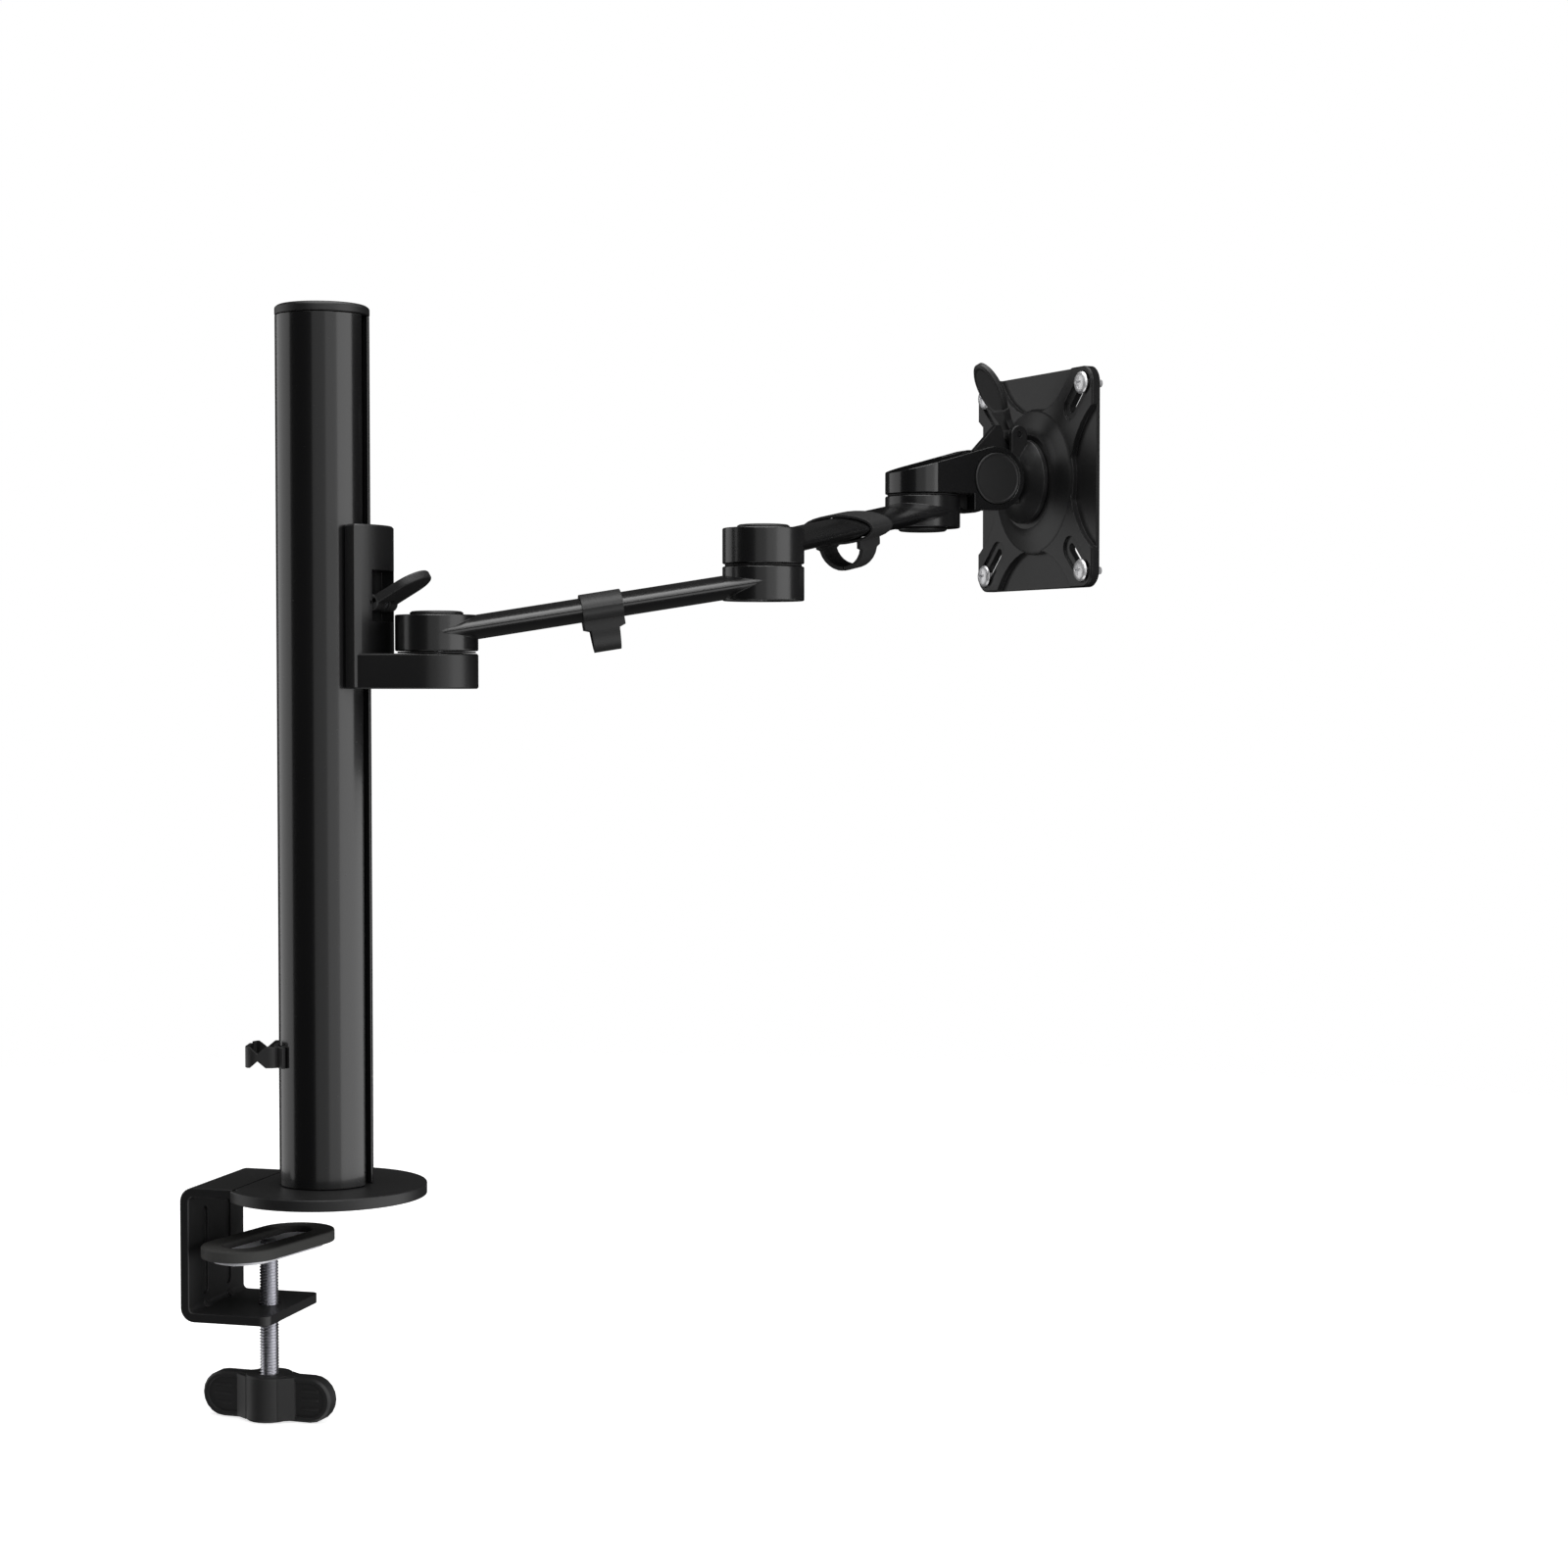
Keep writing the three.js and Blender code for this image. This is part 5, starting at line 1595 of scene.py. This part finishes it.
@dataclass
class Studio:
    """Camera, pale floor, plain background and soft lights."""

    camera_place: tuple[float, float, float] = (0.5888, -1.3214, 0.2544)
    azimuth: float = 15.0
    pitch: float = -2.023
    lens: float = 66.505
    floor_x: float = 0.1
    floor_radius: float = 1.6
    floor_gap: float = 0.0006
    paper_glow: float = 0.72
    surround: float = 0.03
    flag_middle: tuple[float, float, float] = (0.332, 0.28, 0.364)
    flag_way: tuple[float, float, float] = (0.669, -0.743, 0.0)
    flag_half: tuple[float, float] = (0.27, 0.17)

    def camera(self) -> None:
        """Sets the camera."""
        data = bpy.data.cameras.new("camera")
        data.lens = self.lens
        data.sensor_width = 36.0
        data.clip_start = 0.05
        data.clip_end = 50.0
        made = bpy.data.objects.new("camera", data)
        bpy.context.scene.collection.objects.link(made)
        made.location = self.camera_place
        made.rotation_euler = (math.radians(90 + self.pitch), 0.0, math.radians(self.azimuth))
        bpy.context.scene.camera = made

    def floor(self) -> None:
        """Lays a pale round floor that fades out at its rim: P = (c + rho cos t, rho sin t, z)."""
        t = np.linspace(0, 2 * math.pi, 96, endpoint=False)
        height = CAD_BOX[0].z - self.floor_gap
        across, along = self.floor_radius * np.cos(t), self.floor_radius * np.sin(t)
        rim = np.stack([self.floor_x + across, along, height + 0 * t], axis=1)
        mesh = bpy.data.meshes.new("studio_floor")
        mesh.from_pydata(rim.tolist(), [], [list(range(len(rim)))])
        made = bpy.data.objects.new("studio_floor", mesh)
        bpy.context.scene.collection.objects.link(made)
        made.data.materials.append(self.floor_material())
        made.visible_glossy = False
        made.visible_diffuse = False
        made.visible_shadow = False

    def floor_material(self) -> bpy.types.Material:
        """Pale matte paper, clear at its rim and from below.

        Returns:
            The material.
        """
        material = bpy.data.materials.new("studio_paper")
        material.use_nodes = True
        nodes = Nodes(material.node_tree)
        paper = nodes.add("BsdfPrincipled")
        paper.inputs["Base Color"].default_value = (0.93, 0.93, 0.93, 1.0)
        paper.inputs["Roughness"].default_value = 0.9
        paper.inputs["Specular IOR Level"].default_value = 0.0
        paper.inputs["Emission Color"].default_value = WHITE
        paper.inputs["Emission Strength"].default_value = self.paper_glow
        clear = nodes.add("BsdfTransparent")
        blend = nodes.add("MixShader")
        output = nodes.add("OutputMaterial")
        place = nodes.add("VectorMath", operation="LENGTH")
        nodes.join(nodes.add("TexCoord").outputs["Object"], place.inputs[0])
        rim = nodes.ramp(place.outputs["Value"], self.floor_radius * 0.35, self.floor_radius * 0.92)
        behind = nodes.add("NewGeometry").outputs["Backfacing"]
        nodes.join(nodes.math("MAXIMUM", rim, behind), blend.inputs[0])
        nodes.join(paper.outputs[0], blend.inputs[1])
        nodes.join(clear.outputs[0], blend.inputs[2])
        nodes.join(blend.outputs[0], output.inputs["Surface"])
        return material

    def flag(self) -> None:
        """Stands a black card beside the head, unseen by the camera, that keeps the side light off it."""
        middle = Vector(self.flag_middle)
        across = Vector(self.flag_way) * self.flag_half[0]
        up = Vector((0, 0, self.flag_half[1]))
        corners = [middle - across - up, middle + across - up, middle + across + up, middle - across + up]
        mesh = bpy.data.meshes.new("studio_flag")
        mesh.from_pydata([tuple(corner) for corner in corners], [], [(0, 1, 2, 3)])
        made = bpy.data.objects.new("studio_flag", mesh)
        bpy.context.scene.collection.objects.link(made)
        cloth = bpy.data.materials.new("studio_black_cloth")
        cloth.use_nodes = True
        nodes = Nodes(cloth.node_tree)
        matte = nodes.add("BsdfDiffuse")
        matte.inputs["Color"].default_value = (0.002, 0.002, 0.002, 1.0)
        nodes.join(matte.outputs[0], nodes.add("OutputMaterial").inputs["Surface"])
        made.data.materials.append(cloth)
        made.visible_camera = False
        made.visible_shadow = False

    def background(self) -> None:
        """White to the eye, and a dimmer, plain surround for light and reflections."""
        world = bpy.data.worlds.new("studio")
        world.use_nodes = True
        nodes = Nodes(world.node_tree)
        seen = nodes.add("Background")
        seen.inputs["Color"].default_value = WHITE
        seen.inputs["Strength"].default_value = 1.0
        around = nodes.add("Background")
        around.inputs["Color"].default_value = WHITE
        around.inputs["Strength"].default_value = self.surround
        blend = nodes.add("MixShader")
        nodes.join(nodes.add("LightPath").outputs["Is Camera Ray"], blend.inputs[0])
        nodes.join(around.outputs[0], blend.inputs[1])
        nodes.join(seen.outputs[0], blend.inputs[2])
        nodes.join(blend.outputs[0], nodes.add("OutputWorld").inputs["Surface"])
        bpy.context.scene.world = world

    def lights(self) -> None:
        """Hangs the soft boxes round the arm."""
        boxes = [
            SoftBox("box_left", (-1.5, 0.03, 0.25), (0.0, 0.0, 0.2), 1.7, 2.2, 9.5),
            SoftBox("box_right", (1.5, 0.1, 0.25), (0.0, 0.0, 0.2), 2.1, 2.2, 25.0),
            SoftBox("card_front", (0.91, -1.67, 0.15), (0.0, 0.0, 0.2), 2.2, 1.6, 4.6),
            SoftBox("card_corner", (1.36, -1.38, 0.15), (0.0, 0.0, 0.2), 0.95, 1.6, 2.2),
            SoftBox("box_high", (0.63, -1.42, 1.35), (0.12, 0.0, 0.2), 1.7, 0.6, 12.0),
            SoftBox("box_top", (0.2, 0.0, 1.6), (0.15, 0.0, 0.2), 1.5, 1.3, 17.0),
            SoftBox("box_low", (0.3, -0.3, -1.1), (0.15, 0.0, 0.25), 1.6, 1.1, 6.5),
        ]
        for box in boxes:
            box.build()

    def build(self) -> None:
        """Sets up the whole studio."""
        self.camera()
        self.floor()
        self.flag()
        self.background()
        self.lights()
        bpy.context.scene.view_settings.view_transform = "Standard"
        bpy.context.scene.view_settings.look = "None"


# ---------------------------------------------------------------- assembly


def main() -> None:
    """Builds the studio and every sub-assembly in order."""
    logging.basicConfig(level=logging.INFO, format="%(message)s")
    Studio().build()
    workshop = Workshop()
    DeskClamp(workshop).build()
    Pole(workshop).build()
    Slider(workshop).build()
    Link(
        workshop,
        "link_1",
        "shoulder_friction_washer",
        "elbow_friction_washer",
        Body.LOWER_LINK,
        ["shoulder_cap"],
    ).build()
    Link(
        workshop,
        "link_2",
        "elbow_friction_washer",
        "wrist_friction_washer",
        Body.UPPER_LINK,
        ["elbow_cap", "wrist_cap"],
    ).build()
    head = Head(workshop)
    head.build()
    MountingPlate(workshop).build(head.heading())
    for node in ("elbow_nut", "elbow_bolt", "elbow_spring_washer"):
        workshop.dress_node(node, ZINC)
    workshop.dress_node("elbow_friction_washer", NYLON)


if __name__ == "__main__":
    main()
